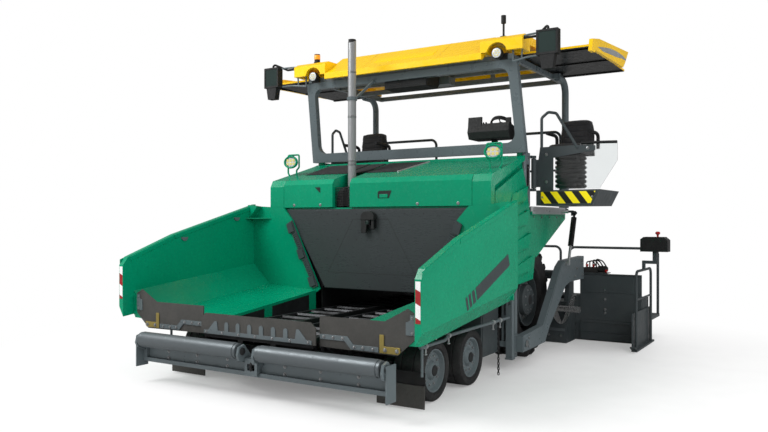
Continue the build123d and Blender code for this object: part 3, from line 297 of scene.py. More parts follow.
platformZones = (((1.46, 0.17, 1.15), (1.6, 1.52, 1.751), colours["green"]),
                 ((1.46, 0.18, 1.752), (1.6, 1.44, 1.81), colours["silver"]))


def paint(name, tone, film=0.1, gloss=0.34, bump=0.012, zones=(), shader=None):
    makeFinish(name, "paint", bump, 0.0005, zones, shader, Tone=colours[tone], Film=colours["dust"], Film_amount=film,
               Gloss=gloss)


def metal(name, tone, stain, amount, gloss, stretch, metallic, bump=0.03, zones=()):
    makeFinish(name, "metal", bump, 0.0006, zones, {"Metallic": metallic}, Tone=tone, Stain=stain, Stain_amount=amount,
               Gloss=gloss, Stretch=stretch)


def rubber(name, tone, dust, amount, grain, bump=0.15, shader=None):
    makeFinish(name, "rubber", bump, 0.001, (), shader, Tone=tone, Dust=dust, Dust_amount=amount, Grain=grain)


paint("greenPaint", "green", 0.004, 0.24, 0.003, shader=glossy)
paint("yellowPaint", "yellow", 0.0, 0.26, 0.003, shader=glossy)
paint("awningPaint", "yellow", 0.0, 0.3, zones=awningZones, shader=glossy)
paint("framePaint", "frameGrey", 0.08)
paint("darkBand", "frameGrey", 0.0, 0.4)
paint("portalPaint", "armGrey", 0.02, 0.3)
paint("platformPaint", "frameGrey", 0.03, zones=platformZones)
paint("armPaint", "armGrey", 0.05, 0.32)
paint("gatePaint", "frameGrey", 0.05, zones=gateZones)
paint("chassisPaint", "black", 0.06, 0.5, zones=railZones)
paint("rimPaint", "frameGrey", 0.12, 0.4)
paint("blackPaint", "black", 0.1, 0.5)
metal("shieldPaint", colours["shieldGrey"], rgb(0.04, 0.045, 0.047), 0.5, 0.27, (0.2, 1, 1), 0.35, zones=shieldZones)
metal("conveyorSteel", rgb(0.035, 0.037, 0.04), rgb(0.012, 0.012, 0.012), 0.8, 0.42, (1, 0.2, 1), 0.5)
metal("rollerSteel", colours["steel"], rgb(0.13, 0.14, 0.15), 0.4, 0.38, (0.15, 1, 1), 0.45)
metal("augerSteel", rgb(0.5, 0.5, 0.5), rgb(0.2, 0.19, 0.18), 0.5, 0.24, (1, 0.3, 0.3), 0.85)
metal("chrome", rgb(0.42, 0.43, 0.44), rgb(0.34, 0.34, 0.34), 0.2, 0.36, (1, 1, 0.1), 0.6, 0.004)
metal("silverStep", colours["silver"], rgb(0.3, 0.3, 0.3), 0.4, 0.3, (1, 0.2, 1), 0.6)
metal("boltSteel", rgb(0.5, 0.51, 0.52), rgb(0.22, 0.21, 0.2), 0.5, 0.28, (1, 1, 1), 0.9)
metal("brassPlate", colours["brass"], rgb(0.2, 0.15, 0.06), 0.4, 0.36, (0.3, 1, 1), 0.5)
metal("castIron", rgb(0.045, 0.046, 0.048), rgb(0.025, 0.024, 0.022), 0.7, 0.6, (1, 1, 1), 0.5, 0.2)
rubber("tyreRubber", colours["rubber"], rgb(0.1, 0.095, 0.09), 0.3, 120.0)
rubber("apronRubber", colours["apron"], rgb(0.09, 0.083, 0.075), 0.5, 60.0)
rubber("skirtRubber", rgb(0.022, 0.022, 0.022), rgb(0.09, 0.085, 0.08), 0.3, 90.0)
rubber("blackPlastic", colours["plastic"], rgb(0.05, 0.05, 0.05), 0.2, 420.0, 0.1)
rubber("seatCloth", colours["cloth"], rgb(0.05, 0.05, 0.052), 0.4, 900.0, 0.3, {"Sheen Weight": 0.15})
rubber("redPlastic", rgb(0.4, 0.01, 0.01), rgb(0.2, 0.05, 0.05), 0.2, 300.0)
metal("mirrorGlass", rgb(0.05, 0.075, 0.07), rgb(0.03, 0.05, 0.045), 0.4, 0.1, (1, 1, 1), 0.6, 0.01)


def makeStripes(name, direction, width, shift, first, second):
    tree, principled = newMaterial(name)
    band = placeGroup(tree, "stripe", Direction=direction, Width=width, Shift=shift, First=first, Second=second)
    wear = placeGroup(tree, "rubber", Tone=first, Dust=second, Dust_amount=0.0, Grain=500.0)
    link(band.outputs["Color"], principled.inputs["Base Color"])
    addRelief(tree, wear, principled, 0.05, 0.001)
    principled.inputs["Roughness"].default_value = 0.35


makeStripes("hazardTape", (0.8, 0.0, 0.6), 0.068, 0.02, rgb(0.9, 0.75, 0.0), rgb(0.012, 0.012, 0.013))
makeStripes("reflectTape", (0.45, 0.0, 0.89), 0.1, 0.03, rgb(0.78, 0.78, 0.78), rgb(0.3, 0.012, 0.015))


def makeGlass(name, tint, rough):
    tree, principled = newMaterial(name)
    film = placeGroup(tree, "rubber", Tone=tint, Dust=rgb(0.75, 0.77, 0.77), Dust_amount=0.3, Grain=30.0)
    link(film.outputs["Color"], principled.inputs["Base Color"])
    setInputs(principled, {"Transmission Weight": 1.0, "Roughness": rough, "IOR": 1.45})


makeGlass("clearPane", rgb(0.82, 0.85, 0.85), 0.08)


# lamp face: clear plastic over cells; a weak emission is a painted glow that makes them look lit from inside
def makeGlow(name, tone, glow, strength):
    tree, principled = newMaterial(name)
    film = placeGroup(tree, "metal", Tone=tone, Stain=glow, Stain_amount=0.3, Gloss=0.15, Stretch=(1.0, 1.0, 1.0))
    link(film.outputs["Color"], principled.inputs["Base Color"])
    link(film.outputs["Roughness"], principled.inputs["Roughness"])
    setInputs(principled, {"Emission Color": glow, "Emission Strength": strength})


# lenses, lamp cells and the beacon's amber all carry this weak painted glow
makeGlow("lampLens", rgb(0.5, 0.52, 0.52), rgb(0.6, 0.61, 0.62), 0.05)
makeGlow("lampCell", rgb(0.6, 0.52, 0.18), rgb(0.8, 0.7, 0.3), 0.05)
makeGlow("amber", rgb(0.85, 0.32, 0.02), rgb(0.8, 0.3, 0.02), 0.2)

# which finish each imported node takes; the longest start that fits a name counts
nodeFinishes = {
    "tyreRubber": ("tyre_",), "rimPaint": ("rim_rear",), "armPaint": ("rim_", "push_beam", "tow_"),
    "blackPaint": ("knuckle_", "axle_beams", "lift_barrels"), "chassisPaint": ("chassis",),
    "conveyorSteel": ("conveyor_chains",), "castIron": ("engine_block",),
    "greenPaint": ("hopper_wing", "hood_", "side_door"), "shieldPaint": ("hopper_shield",),
    "apronRubber": ("wing_flap", "rubber_skirts"), "rollerSteel": ("push_roller",), "portalPaint": ("canopy_frame",),
    "platformPaint": ("platform",), "framePaint": ("screed", "extension", "seat_unit"), "gatePaint": ("end_gate",),
    "augerSteel": ("auger",), "chrome": ("exhaust_stack", "lift_rods"), "yellowPaint": ("roof_shell",),
    "awningPaint": ("awning",), "blackPlastic": ("lamps", "mirrors_and_mast", "console"), "clearPane": ("seat_pane",),
    "seatCloth": ("seat_",),
}


def paintNodes():
    starts = {start: finish for finish, group in nodeFinishes.items() for start in group}
    for name, obj in nodes.items():
        key = starts[max((start for start in starts if name.startswith(start)), key=len)]
        if not obj.material_slots:
            obj.data.materials.append(finishes[key])
        for place in obj.material_slots:
            place.material = finishes[key]


paintNodes()
print("finishes on the packed nodes")


# places that repeat: angles of a full turn, and even steps from low to high with both ends included
def turns(count):
    return [2 * math.pi * i / count for i in range(count)]


def rows(low, high, count):
    return [low + (high - low) * i / (count - 1) for i in range(count)]


def middle(name):
    low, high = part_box(name)
    return [(a + b) / 2 for a, b in zip(low, high)]


# rings round an axle along x; profile rows are (radius, along)
def axleRings(centre, profile, steps):
    return [[Vector((centre[0] + along, centre[1] + r * math.cos(a), centre[2] + r * math.sin(a)))
             for a in turns(steps)] for r, along in profile]


# a small mesh maker for the added pieces: it collects shells, then becomes one object that rides a body.
# Made for the right side it mirrors what it is given; made with a turn it places everything by that matrix.
# A name or body that ends in _ takes the side's name.
class Piece:
    def __init__(self, side="", turn=None):
        self.mesh = bmesh.new()
        self.side = side
        self.turn = turn or Matrix.Diagonal((-1.0 if side == "right" else 1.0, 1.0, 1.0, 1.0))

    def at(self, point):
        return self.turn @ Vector(point)

    def aim(self, axis):
        return self.turn.to_3x3() @ Vector(axis)

    # shell through rings that are already in place; without caps it closes on itself
    def faceLoop(self, rings, caps=True):
        loops = [[self.mesh.verts.new(point) for point in ring] for ring in rings]
        count = len(loops[0])
        for first, second in list(zip(loops, loops[1:])) + ([] if caps else [(loops[-1], loops[0])]):
            for i in range(count):
                j = (i + 1) % count
                self.mesh.faces.new((first[i], first[j], second[j], second[i]))
        if caps:
            self.mesh.faces.new(loops[0][::-1])
            self.mesh.faces.new(loops[-1])
        return self

    def loft(self, *rings):
        return self.faceLoop([[self.at(point) for point in ring] for ring in rings])

    def box(self, low, high):
        (x0, y0, z0), (x1, y1, z1) = low, high
        return self.loft(*([(x0, y0, z), (x1, y0, z), (x1, y1, z), (x0, y1, z)] for z in (z0, z1)))

    def boxes(self, low, high, step, count):  # a row of like boxes, each moved on by step
        for i in range(count):
            self.box(*([a + i * b for a, b in zip(corner, step)] for corner in (low, high)))
        return self

    def prism(self, axis, points, low, high):
        place = {"x": lambda a, b, t: (t, a, b), "y": lambda a, b, t: (a, t, b), "z": lambda a, b, t: (a, b, t)}[axis]
        return self.loft(*([place(a, b, t) for a, b in points] for t in (low, high)))

    # profile is (radius, along) from one end to the other; both ends are capped
    def lathe(self, profile, centre, axis, sides=32):
        turn = self.aim(axis).to_track_quat("Z", "Y")
        return self.faceLoop([[self.at(centre) + turn @ Vector((r * math.cos(a), r * math.sin(a), along))
                               for a in turns(sides)] for r, along in profile])

    def rod(self, start, end, radius, sides=16):
        length = (Vector(end) - Vector(start)).length
        return self.lathe([(radius, 0.0), (radius, length)], start, Vector(end) - Vector(start), sides)

    # round bar through points, with rounded corners
    def pipe(self, points, radius, sides=12, bend=0.04, steps=5):
        points = [self.at(point) for point in points]
        route = [points[0]]
        for before, here, after in zip(points, points[1:], points[2:]):
            reach = min(bend, (before - here).length * 0.45, (after - here).length * 0.45)
            first = here + (before - here).normalized() * reach
            last = here + (after - here).normalized() * reach
            for k in range(steps + 1):
                t = k / steps
                route.append(first * (1 - t) ** 2 + here * 2 * t * (1 - t) + last * t * t)
        route.append(points[-1])
        rings = []
        normal = None
        for i, centre in enumerate(route):
            heading = (route[min(i + 1, len(route) - 1)] - route[max(i - 1, 0)]).normalized()
            normal = normal or heading.orthogonal().normalized()
            normal = (normal - heading * normal.dot(heading)).normalized()
            across = heading.cross(normal)
            rings.append([centre + normal * radius * math.cos(a) + across * radius * math.sin(a) for a in turns(sides)])
        return self.faceLoop(rings)

    # washer and hex head
    def bolt(self, place, outward, radius=0.011):
        self.lathe([(radius * 1.5, -0.002), (radius * 1.5, radius * 0.2), (radius * 1.4, radius * 0.25)],
                   place, outward, 16)
        return self.lathe([(radius, 0.0), (radius, radius * 0.85), (radius * 0.8, radius * 1.05)], place, outward, 6)

    def bolts(self, places, outward, radius=0.011):
        for place in places:
            self.bolt(place, outward, radius)
        return self

    def finish(self, name, finish, body, bevel=0.0):
        name, body = (word + self.side if word.endswith("_") else word for word in (name, body))
        bmesh.ops.recalc_face_normals(self.mesh, faces=self.mesh.faces)
        mesh = meshOf(name, self.mesh)
        for face in mesh.polygons:
            face.use_smooth = True
        mesh.set_sharp_from_angle(angle=math.radians(35.0))
        mesh.materials.append(finishes[finish])
        obj = addObject(name, mesh)
        if bevel:
            edge = obj.modifiers.new("edge", "BEVEL")
            edge.width = bevel
            edge.segments = 2
            edge.limit_method = "ANGLE"
            edge.harden_normals = True
        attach(obj, body)
        return obj


sides = {"left": 1, "right": -1}
outward, ahead, up = (1, 0, 0), (0, -1, 0), (0, 0, 1)


# drive tyre: slanted lugs that meet in a chevron on a carcass a little under the full size
driveTyre = {"lugs": 22, "lugHeight": 0.034, "lugWidth": 0.052, "sweep": 0.3, "shoulder": 0.055, "beads": 3}


def wheelSize(name):  # centre, outer radius and half width of a packed tyre
    low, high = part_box(name)
    return middle(name), (high[2] - low[2]) / 2, (high[0] - low[0]) / 2


# one half of a tyre's section, given from its bead to its crown, is mirrored to make the other half
def tyreSection(half):
    return half + [(r, -along) for r, along in reversed(half) if along]


def driveTyreShape(side):
    look = driveTyre
    centre, outer, half = wheelSize("tyre_rear_" + side)
    inner = outer - 0.285
    base = outer - look["lugHeight"]
    piece = Piece(side)
    piece.faceLoop(axleRings(centre, tyreSection([
        (inner, -half + 0.05), (inner + 0.01, -half + 0.02), (inner + 0.06, -half + 0.004), (base - 0.11, -half),
        (base - look["shoulder"], -half + 0.006), (base - 0.02, -half + 0.03), (base, -half + 0.07),
        (base + 0.004, 0.0)]), 96), caps=False)
    for bead in range(look["beads"]):  # moulded rings on the side walls
        radius = inner + 0.05 + bead * 0.045
        for wall in (-1, 1):
            piece.faceLoop(axleRings(centre, [(radius, wall * (half - 0.004)), (radius + 0.006, wall * half),
                                              (radius + 0.012, wall * (half - 0.004))], 64), caps=False)
    for lug, start in enumerate(turns(look["lugs"] * 2)):
        wall = 1 if lug % 2 else -1
        rings = []
        for t in (0.0, 0.5, 0.82, 0.95, 1.0):  # from the middle of the tread out over the shoulder
            along = wall * (0.012 + (half - 0.012) * t) * (1 if t < 1 else 0.985)
            angle = start + look["sweep"] * t * (1 - 0.35 * t)
            top = outer if t < 0.9 else outer - (0.025 if t < 1 else 0.1)
            foot = base - 0.03 if t < 0.9 else base - (0.05 if t < 1 else 0.13)
            wide = look["lugWidth"] / outer / 2 * (0.8 + 0.35 * t)
            rings.append([(centre[0] + along, centre[1] + r * math.cos(angle + wide * spread),
                           centre[2] + r * math.sin(angle + wide * spread))
                          for r, spread in ((foot, 1.35), (top, 1.0), (top, -1.0), (foot, -1.35))])
        piece.faceLoop(rings)
    tyre = piece.finish("drive_tyre_", "tyreRubber", "wheel_rear_", 0.004)
    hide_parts("tyre_rear_" + side)


# solid steered tyres: smooth face with two side grooves and a row of sipes at the shoulders
steeredTyre = {"inner": 0.196, "grooveDepth": 0.009, "grooveAt": 0.06, "sipes": 44, "sipeLift": 0.003}


def steeredTyreShape(place, side):
    look = steeredTyre
    name = "tyre_%s_%s" % (place, side)
    centre, outer, half = wheelSize(name)
    inner = look["inner"]
    deep = outer - look["grooveDepth"]
    at = -look["grooveAt"]
    piece = Piece(side)
    piece.faceLoop(axleRings(centre, tyreSection([
        (inner, -half + 0.02), (inner + 0.012, -half + 0.004), (inner + 0.03, -half), (outer - 0.035, -half),
        (outer - 0.012, -half + 0.006), (outer - 0.002, -half + 0.022), (outer, at - 0.008), (deep, at - 0.005),
        (deep, at + 0.005), (outer, at + 0.008)]), 96), caps=False)
    for wall in (-1, 1):
        for a in turns(look["sipes"]):
            piece.faceLoop([[(centre[0] + wall * (half - 0.003 + lift), centre[1] + r * math.cos(a + spread),
                              centre[2] + r * math.sin(a + spread))
                             for spread, lift in ((-0.012, 0.0), (0.0, look["sipeLift"]), (0.012, 0.0))]
                            for r in (outer - 0.075, outer - 0.03)])
    tyre = piece.finish("steered_tyre_" + place + "_", "tyreRubber", "wheel_" + place + "_")
    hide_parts(name)


# wheel nuts, hub caps and cap screws, sized for the large rear wheels and for the small ones
wheelTrim = {
    "rear": {"nuts": 12, "ring": 0.212, "sunk": 0.087, "nut": 0.013, "screws": 8, "cap": 0.06},
    "small": {"nuts": 10, "ring": 0.132, "sunk": 0.036, "nut": 0.01, "screws": 0, "cap": 0.05},
}


def wheelTrimShape(place, side):
    look = wheelTrim["rear" if place == "rear" else "small"]
    low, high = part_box("rim_%s_%s" % (place, side))
    along, lift = middle("rim_%s_%s" % (place, side))[1:]
    face = high[0] if side == "left" else -low[0]
    body = "wheel_" + place + "_"
    piece = Piece(side)
    for count, shift, ring, sunk, size in ((look["nuts"], 0.0, look["ring"], look["sunk"], look["nut"]),
                                           (look["screws"], 0.5, 0.13, 0.01, 0.008)):
        for i in range(count):
            a = 2 * math.pi * (i + shift) / count
            piece.bolt((face - sunk, along + ring * math.cos(a), lift + ring * math.sin(a)), outward, size)
    piece.finish("wheel_nuts_" + place + "_", "boltSteel", body)
    size = look["cap"]
    Piece(side).lathe([(size, -0.003), (size, 0.004), (size * 0.9, 0.009), (size * 0.5, 0.01), (0.012, 0.0102)],
                      (face - 0.004, along, lift), outward).finish("hub_cap_" + place + "_", "castIron", body, 0.001)


for side in sides:
    driveTyreShape(side)
    for place in ("front", "mid"):
        steeredTyreShape(place, side)
    for place in ("front", "mid", "rear"):
        wheelTrimShape(place, side)
print("wheels and tyres")


# clamp strips, hinge brackets and brass corners on the lower edge of each wing's flap
# plates stand in front of the rubber; their outlines are (across, height over the flap's foot)
flapTrim = {"thick": 0.008, "brassThick": 0.009, "bolts": (0.76, 0.86, 0.96), "lowBolts": (1.08, 1.17, 1.27)}
gap = 0.0003  # added plates stand off their base by this much


def flapTrimShape(side):
    look = flapTrim
    face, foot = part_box("wing_flap_" + side)[0][1:]
    body = "hopper_wing_"
    steel, brass = face - look["thick"], face - look["brassThick"]

    def plate(piece, points, start):
        return piece.prism("y", [(a, foot + b) for a, b in points], start, face - gap)

    strip = plate(Piece(side), [(0.715, 0.078), (0.985, 0.078), (1.045, 0.014), (1.325, 0.014), (1.325, 0.058),
                                (1.07, 0.058), (1.01, 0.122), (0.715, 0.122)], steel)
    plate(strip, [(1.588, 0.18), (1.672, 0.18), (1.672, 0.345), (1.628, 0.345), (1.628, 0.3), (1.588, 0.285),
                  (1.588, 0.235)], steel).finish("flap_strip_", "armPaint", body, 0.0015)
    bolts = Piece(side)
    for spots, z in ((look["bolts"], 0.1), (look["lowBolts"], 0.036)):
        bolts.bolts([(a, steel, foot + z) for a in spots], ahead, 0.01)
    bolts.bolts([(1.65, steel, foot + z) for z in (0.2, 0.32)], ahead, 0.008)
    bolts.finish("flap_bolts_", "boltSteel", body)
    plate(Piece(side), [(1.335, 0.012), (1.515, 0.012), (1.535, 0.03), (1.535, 0.07), (1.378, 0.07), (1.378, 0.165),
                        (1.335, 0.165)], brass).finish("flap_corner_", "brassPlate", body, 0.002)
    Piece(side).bolts([(a, brass, foot + 0.04) for a in (1.39, 1.505)], ahead, 0.012).finish(
        "flap_corner_bolts_", "boltSteel", body)


# steel comb along the foot of the middle apron: bottom strip, rounded tines and a wedge at each end
apronComb = {"foot": 0.552, "tines": 6, "reach": 0.36, "half": 0.655, "strip": 0.036, "tine": 0.088, "round": 0.024,
             "thick": 0.008, "bolts": 7}


def apronCombShape():
    look = apronComb
    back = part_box("rubber_skirts")[0][1] - gap
    face = back + gap - look["thick"]
    top = look["foot"] + look["strip"]
    high, size = top + look["tine"], look["round"]
    piece = Piece().box((-look["half"], face, look["foot"]), (look["half"], back, top))
    for x in rows(-look["reach"], look["reach"], look["tines"]):
        crown = [(x + size * math.cos(a), high - size + size * math.sin(a)) for a in rows(0.0, math.pi, 9)]
        piece.prism("y", [(x - size, top - 0.002), (x + size, top - 0.002)] + crown, face, back)
    for s in (-1, 1):
        piece.prism("y", [(s * 0.47, top - 0.002), (s * 0.6, top - 0.002), (s * 0.515, high), (s * 0.485, high)],
                    face, back)
    piece.finish("apron_comb", "armPaint", "tractor", 0.0015)
    Piece().bolts([(x, face, look["foot"] + 0.018) for x in rows(-0.62, 0.62, look["bolts"])], ahead, 0.0095).finish(
        "apron_bolts", "boltSteel", "tractor")


# tape, edge bars and lips, lifting eyes, corner shelf, stripe, seal and floor liner of each wing
wingTrim = {
    "eyes": (-2.2, -1.35), "stripeStart": -2.2, "stripes": ((0, 0.035), (0.06, 0.105), (0.13, 0.185), (0.21, 0.98)),
    "edgeBars": ((-3.03, -2.355), (-2.345, -1.01)), "lips": ((-2.95, -2.36), (-2.34, -1.04)), "ribs": 34,
    "sealFrom": (0.718, 0, 0.86), "sealTo": (1.118, 0, 1.645), "clips": (0.08, 0.5, 0.9),
}


def wingTopZ(y):  # height of the outer wall's top edge
    start, bend, back = (-3.04, 1.24), (-2.35, 1.49), (-1.0, 1.85)
    first, last = (start, bend) if y < bend[0] else (bend, back)
    return first[1] + (last[1] - first[1]) * (y - first[0]) / (last[0] - first[0])


# flat bar outside under the top rail, or folded lip inside it; the foot drops by low at the face and lower at the base
def wingEdge(side, name, spans, base, face, low, lower):
    bars = Piece(side)
    for span in spans:
        bars.loft(*([(x, y, wingTopZ(y) - drop) for x, drop in
                     ((base, lower), (face, low), (face, 0.008), (base, 0.004))] for y in span))
    bars.finish(name, "greenPaint", "hopper_wing_", 0.0015)


def wingTrimShape(side):
    look = wingTrim
    body = "hopper_wing_"
    Piece(side).prism("y", [(1.747, 0.83), (1.793, 0.83), (1.793, 1.165), (1.747, 1.165)], -3.0425, -3.0402).finish(
        "wing_tape_", "reflectTape", body, 0.0006)
    wingEdge(side, "wing_edge_bars_", look["edgeBars"], 1.8003, 1.8055, 0.048, 0.052)
    eyes = Piece(side)
    for y in look["eyes"]:  # half-round lifting eyes welded inside the wall
        z = wingTopZ(y) - 0.075
        eyes.prism("x", [(y + 0.05 * math.cos(a), z - 0.042 * math.sin(a)) for a in rows(0.0, math.pi, 11)],
                   1.7395, 1.727)
    eyes.finish("wing_eyes_", "armPaint", body, 0.002)
    wingEdge(side, "wing_lip_", look["lips"], 1.7398, 1.732, 0.05, 0.055)
    Piece(side).prism("z", [(1.739, -1.031), (1.739, -1.19), (1.45, -1.031)], 1.665, 1.677).finish(
        "wing_corner_plate_", "greenPaint", body, 0.002)
    stripe = Piece(side)
    start = look["stripeStart"]
    for y0, y1 in look["stripes"]:
        stripe.prism("x", [(start + y + lean, 0.845 + 0.36 * y + lift) for y, lean, lift in
                           ((y0, 0.0, 0.0), (y1, 0.0, 0.0), (y1, -0.04, 0.115), (y0, -0.04, 0.115))], 1.8003, 1.8016)
    stripe.finish("wing_stripe_", "darkBand", body)
    seal = Piece(side)
    start, end = Vector(look["sealFrom"]), Vector(look["sealTo"])
    along = (end - start).normalized()
    across = Vector((along.z, 0, -along.x))
    half = (end - start).length / look["ribs"] / 2
    for i in range(look["ribs"]):
        at = start.lerp(end, (i + 0.5) / look["ribs"])
        corners = [at + along * half * reach + across * out
                   for reach, out in ((-0.96, -0.004), (0.96, -0.004), (0.7, 0.075), (-0.7, 0.075))]
        seal.prism("y", [(p.x, p.z) for p in corners], -1.046, -1.0303)
    for t in look["clips"]:  # steel clips that hold the strip
        at = start.lerp(end, t)
        seal.prism("y", [(at.x + dx, at.z + dz) for dx, dz in
                         ((-0.006, -0.05), (0.075, -0.085), (0.115, 0.03), (0.035, 0.06))], -1.058, -1.0303)
    seal.finish("wing_seal_", "framePaint", body, 0.001)
    liner = Piece(side)  # plate from the floor's inner edge down to the hinge
    liner.loft(*([(a, y, 0.57 + 0.21 * (y + 3.04) / 2.04 if high else 0.568)
                  for a, high in ((0.7554, 0), (0.7554, 1), (0.7624, 1), (0.7624, 0))] for y in (-2.895, -1.031)))
    liner.finish("wing_liner_", "conveyorSteel", body)


# shield: dark joint of the access panel, its screws and the camera under a rounded hood
shieldTrim = {"joint": 0.005, "panel": ((-0.24, 1.66), (0.24, 1.66), (0.6, 1.03), (-0.6, 1.03)),
              "screwRows": (1.12, 1.42, 1.72), "screwColumns": (0.19, 0.46, 0.7), "capHigh": 0.062}


def shieldTrimShape():
    look = shieldTrim
    face, corners = -0.994, look["panel"]
    Piece().prism("y", [(-1.218, 1.766), (1.218, 1.766), (0.648, 0.846), (-0.648, 0.846)], -0.9944, -0.9884).finish(
        "shield_skin", "shieldPaint", "tractor", 0.001)
    seam = Piece()
    for (x0, z0), (x1, z1) in zip(corners, corners[1:] + corners[:1]):
        along = Vector((x1 - x0, 0, z1 - z0)).normalized()
        dx, dz = -along.z * look["joint"] / 2, along.x * look["joint"] / 2
        seam.prism("y", [(x0 + dx, z0 + dz), (x1 + dx, z1 + dz), (x1 - dx, z1 - dz), (x0 - dx, z0 - dz)],
                   face - 0.0008, -0.9942)
    seam.finish("shield_joint", "blackPlastic", "tractor")
    screws = Piece()
    for z in look["screwRows"]:
        for x in look["screwColumns"]:
            if x < 0.43 + (z - 0.96) * 0.53:
                for s in (-1, 1):
                    screws.lathe([(0.008, 0.0), (0.008, 0.0002), (0.005, 0.0004)], (s * x, face - 0.0004, z), ahead, 12)
    screws.finish("shield_screws", "blackPlastic", "tractor")
    crown = [(0.092 * math.cos(a), 1.69 + look["capHigh"] * math.sin(a)) for a in rows(0.0, math.pi, 11)]
    cap = Piece().prism("y", [(0.092, 1.65)] + crown + [(-0.092, 1.65)], -1.066, -0.9945)
    cap.prism("y", [(-0.088, 1.5), (-0.02, 1.5), (-0.005, 1.66), (-0.088, 1.66)], -1.06, -1.0285)
    cap.box((0.045, -1.052, 1.545), (0.082, -1.0285, 1.66)).finish("camera_hood", "blackPlastic", "tractor", 0.006)
    Piece().lathe([(0.022, 0.0), (0.022, 0.01), (0.016, 0.014), (0.013, 0.009)], (0, -1.058, 1.62), ahead, 24).finish(
        "camera_eye", "mirrorGlass", "tractor")


# push rollers: weld beads, end castings, hook and bolts
rollerTrim = {"beads": (0.16, 0.52, 0.78, 1.04, 1.4), "castings": (0.093, 1.468), "bolts": (0.35, 0.75, 1.15)}


def rollerTrimShape(side):
    look = rollerTrim
    body = "push_roller_"
    along, lift = middle(body + side)[1:]
    beads = Piece(side)
    for at in look["beads"]:
        beads.faceLoop([[beads.at(p) for p in ring] for ring in axleRings((at, along, lift), [
            (0.0758, -0.006), (0.0768, -0.002), (0.0768, 0.002), (0.0758, 0.006)], 48)], caps=False)
    beads.finish("roller_beads_", "rollerSteel", body)
    castings = Piece()
    for at in look["castings"]:
        castings.lathe([(0.034, -0.022), (0.034, 0.022), (0.026, 0.026)], (sides[side] * at, along, lift), outward, 24)
    castings.finish("roller_castings_" + side, "castIron", "push_beam", 0.001)
    Piece(side).bolts([(at, -2.951, z) for at in look["bolts"] for z in (0.262, 0.328)], ahead, 0.012).finish(
        "beam_bolts_", "boltSteel", "push_beam")


def hookShape():
    hook = Piece().pipe([(0, -2.955, 0.36), (0, -3.0, 0.345), (0, -3.022, 0.3), (0, -3.0, 0.255), (0, -2.965, 0.262)],
                        0.014, 12, 0.03)
    hook.lathe([(0.034, 0.0), (0.034, 0.012), (0.026, 0.018)], (0, -2.945, 0.3), ahead, 24)
    hook.box((-0.044, -3.0162, 0.318), (0.044, -3.008, 0.324)).finish("tow_hook", "castIron", "push_beam", 0.002)


for side in sides:
    flapTrimShape(side)
    wingTrimShape(side)
    rollerTrimShape(side)
apronCombShape()
shieldTrimShape()
hookShape()
print("hopper, aprons and push rollers")


# hood: louvred panels, recess, handle, locks, vent and the pipework in the slot round the stack
hoodLook = {"bars": 16, "slotPipes": 3, "slotLouvres": 12, "locks": {"left": (0.62, 1.12), "right": (-1.12, -0.72)}}


def hoodTop(y):  # height a hair over the lids' upper face
    return 2.14 + 0.2738 * (y + 0.945) + 0.0004


# louvred panel that follows the slope from y0 to y1 between x0 and x1; slant shifts the far end of its left edge
def louvres(name, body, x0, x1, y0, y1, slant=0.0):
    Piece().loft(*([(x, y0, hoodTop(y0)), (x + shift, y1, hoodTop(y1)), (x + shift, y1, hoodTop(y1) + 0.004),
                    (x, y0, hoodTop(y0) + 0.004)] for x, shift in ((x0, 0.0), (x1, slant)))).finish(
        name + "_bed", "blackPlastic", body, 0.0008)
    bars = Piece()
    for i in range(hoodLook["bars"]):
        y = y0 + (y1 - y0) * (i + 0.5) / hoodLook["bars"]
        end = x1 + slant * (y - y0) / (y1 - y0)
        bars.loft(*([(x, y + dy, hoodTop(y) + dz) for dy, dz in
                     ((-0.007, 0.003), (-0.005, 0.011), (0.004, 0.012), (0.006, 0.004))]
                    for x in (x0 + 0.01, end - 0.01)))
    bars.finish(name + "_bars", "blackPlastic", body, 0.0008)
    if slant:
        Piece().loft(*([(x1 + shift + dx, y, hoodTop(y) + dz) for dx, dz in
                        ((0, 0), (0.022, 0), (0.016, 0.012), (0.002, 0.012))] for y, shift in ((y0, 0.0), (y1, slant)))
                     ).finish(name + "_edge", "silverStep", body, 0.0015)


def hoodTrimShape():
    louvres("hood_grille_right", "hood_lid_right", -1.2, -0.56, -0.66, -0.13)
    louvres("hood_grille_slot", "tractor", -0.532, -0.298, -0.62, -0.14)
    louvres("hood_grille_left", "hood_lid_left", -0.27, 0.16, -0.66, -0.13, 0.14)
    Piece().prism("y", [(0.1, 1.9), (0.25, 1.9), (0.285, 1.985), (0.12, 1.985), (0.1, 1.97)], -0.9925, -0.9902
                  ).finish("hood_recess", "blackPlastic", "hood_lid_left", 0.0008)
    Piece().box((0.125, -0.9985, 1.905), (0.235, -0.9922, 1.945)).finish(
        "hood_handle", "greenPaint", "hood_lid_left", 0.002)
    for side in sides:
        locks = Piece()
        for x in hoodLook["locks"][side]:
            locks.lathe([(0.018, 0.0), (0.018, 0.003), (0.012, 0.0045)], (x, -0.99, 1.83), ahead, 24)
        locks.finish("hood_locks_" + side, "boltSteel", "hood_lid_" + side)
    Piece().prism("y", [(-0.8, 2.045), (-0.72, 2.045), (-0.72, 1.975)], -0.9935, -0.9902).finish(
        "hood_vent", "blackPlastic", "hood_lid_right", 0.001)
    pipes = Piece()
    for i in range(hoodLook["slotPipes"]):
        x = -0.515 + i * 0.03
        pipes.pipe([(x, -0.9, 1.8), (x, -0.9, 1.98 + i * 0.02), (x + 0.01, -0.78, 2.05), (x + 0.02, -0.62, 2.02)],
                   0.011, 10, 0.05)
    pipes.pipe([(-0.32, -0.92, 1.8), (-0.32, -0.92, 2.03), (-0.33, -0.8, 2.08), (-0.33, -0.55, 2.1)], 0.014, 10, 0.06)
    pipes.finish("slot_hoses", "skirtRubber", "tractor")
    Piece().boxes((-0.535, -0.9395, 1.82), (-0.295, -0.9355, 1.829), (0, 0, 0.019), hoodLook["slotLouvres"]).finish(
        "slot_louvres", "blackPaint", "tractor", 0.001)
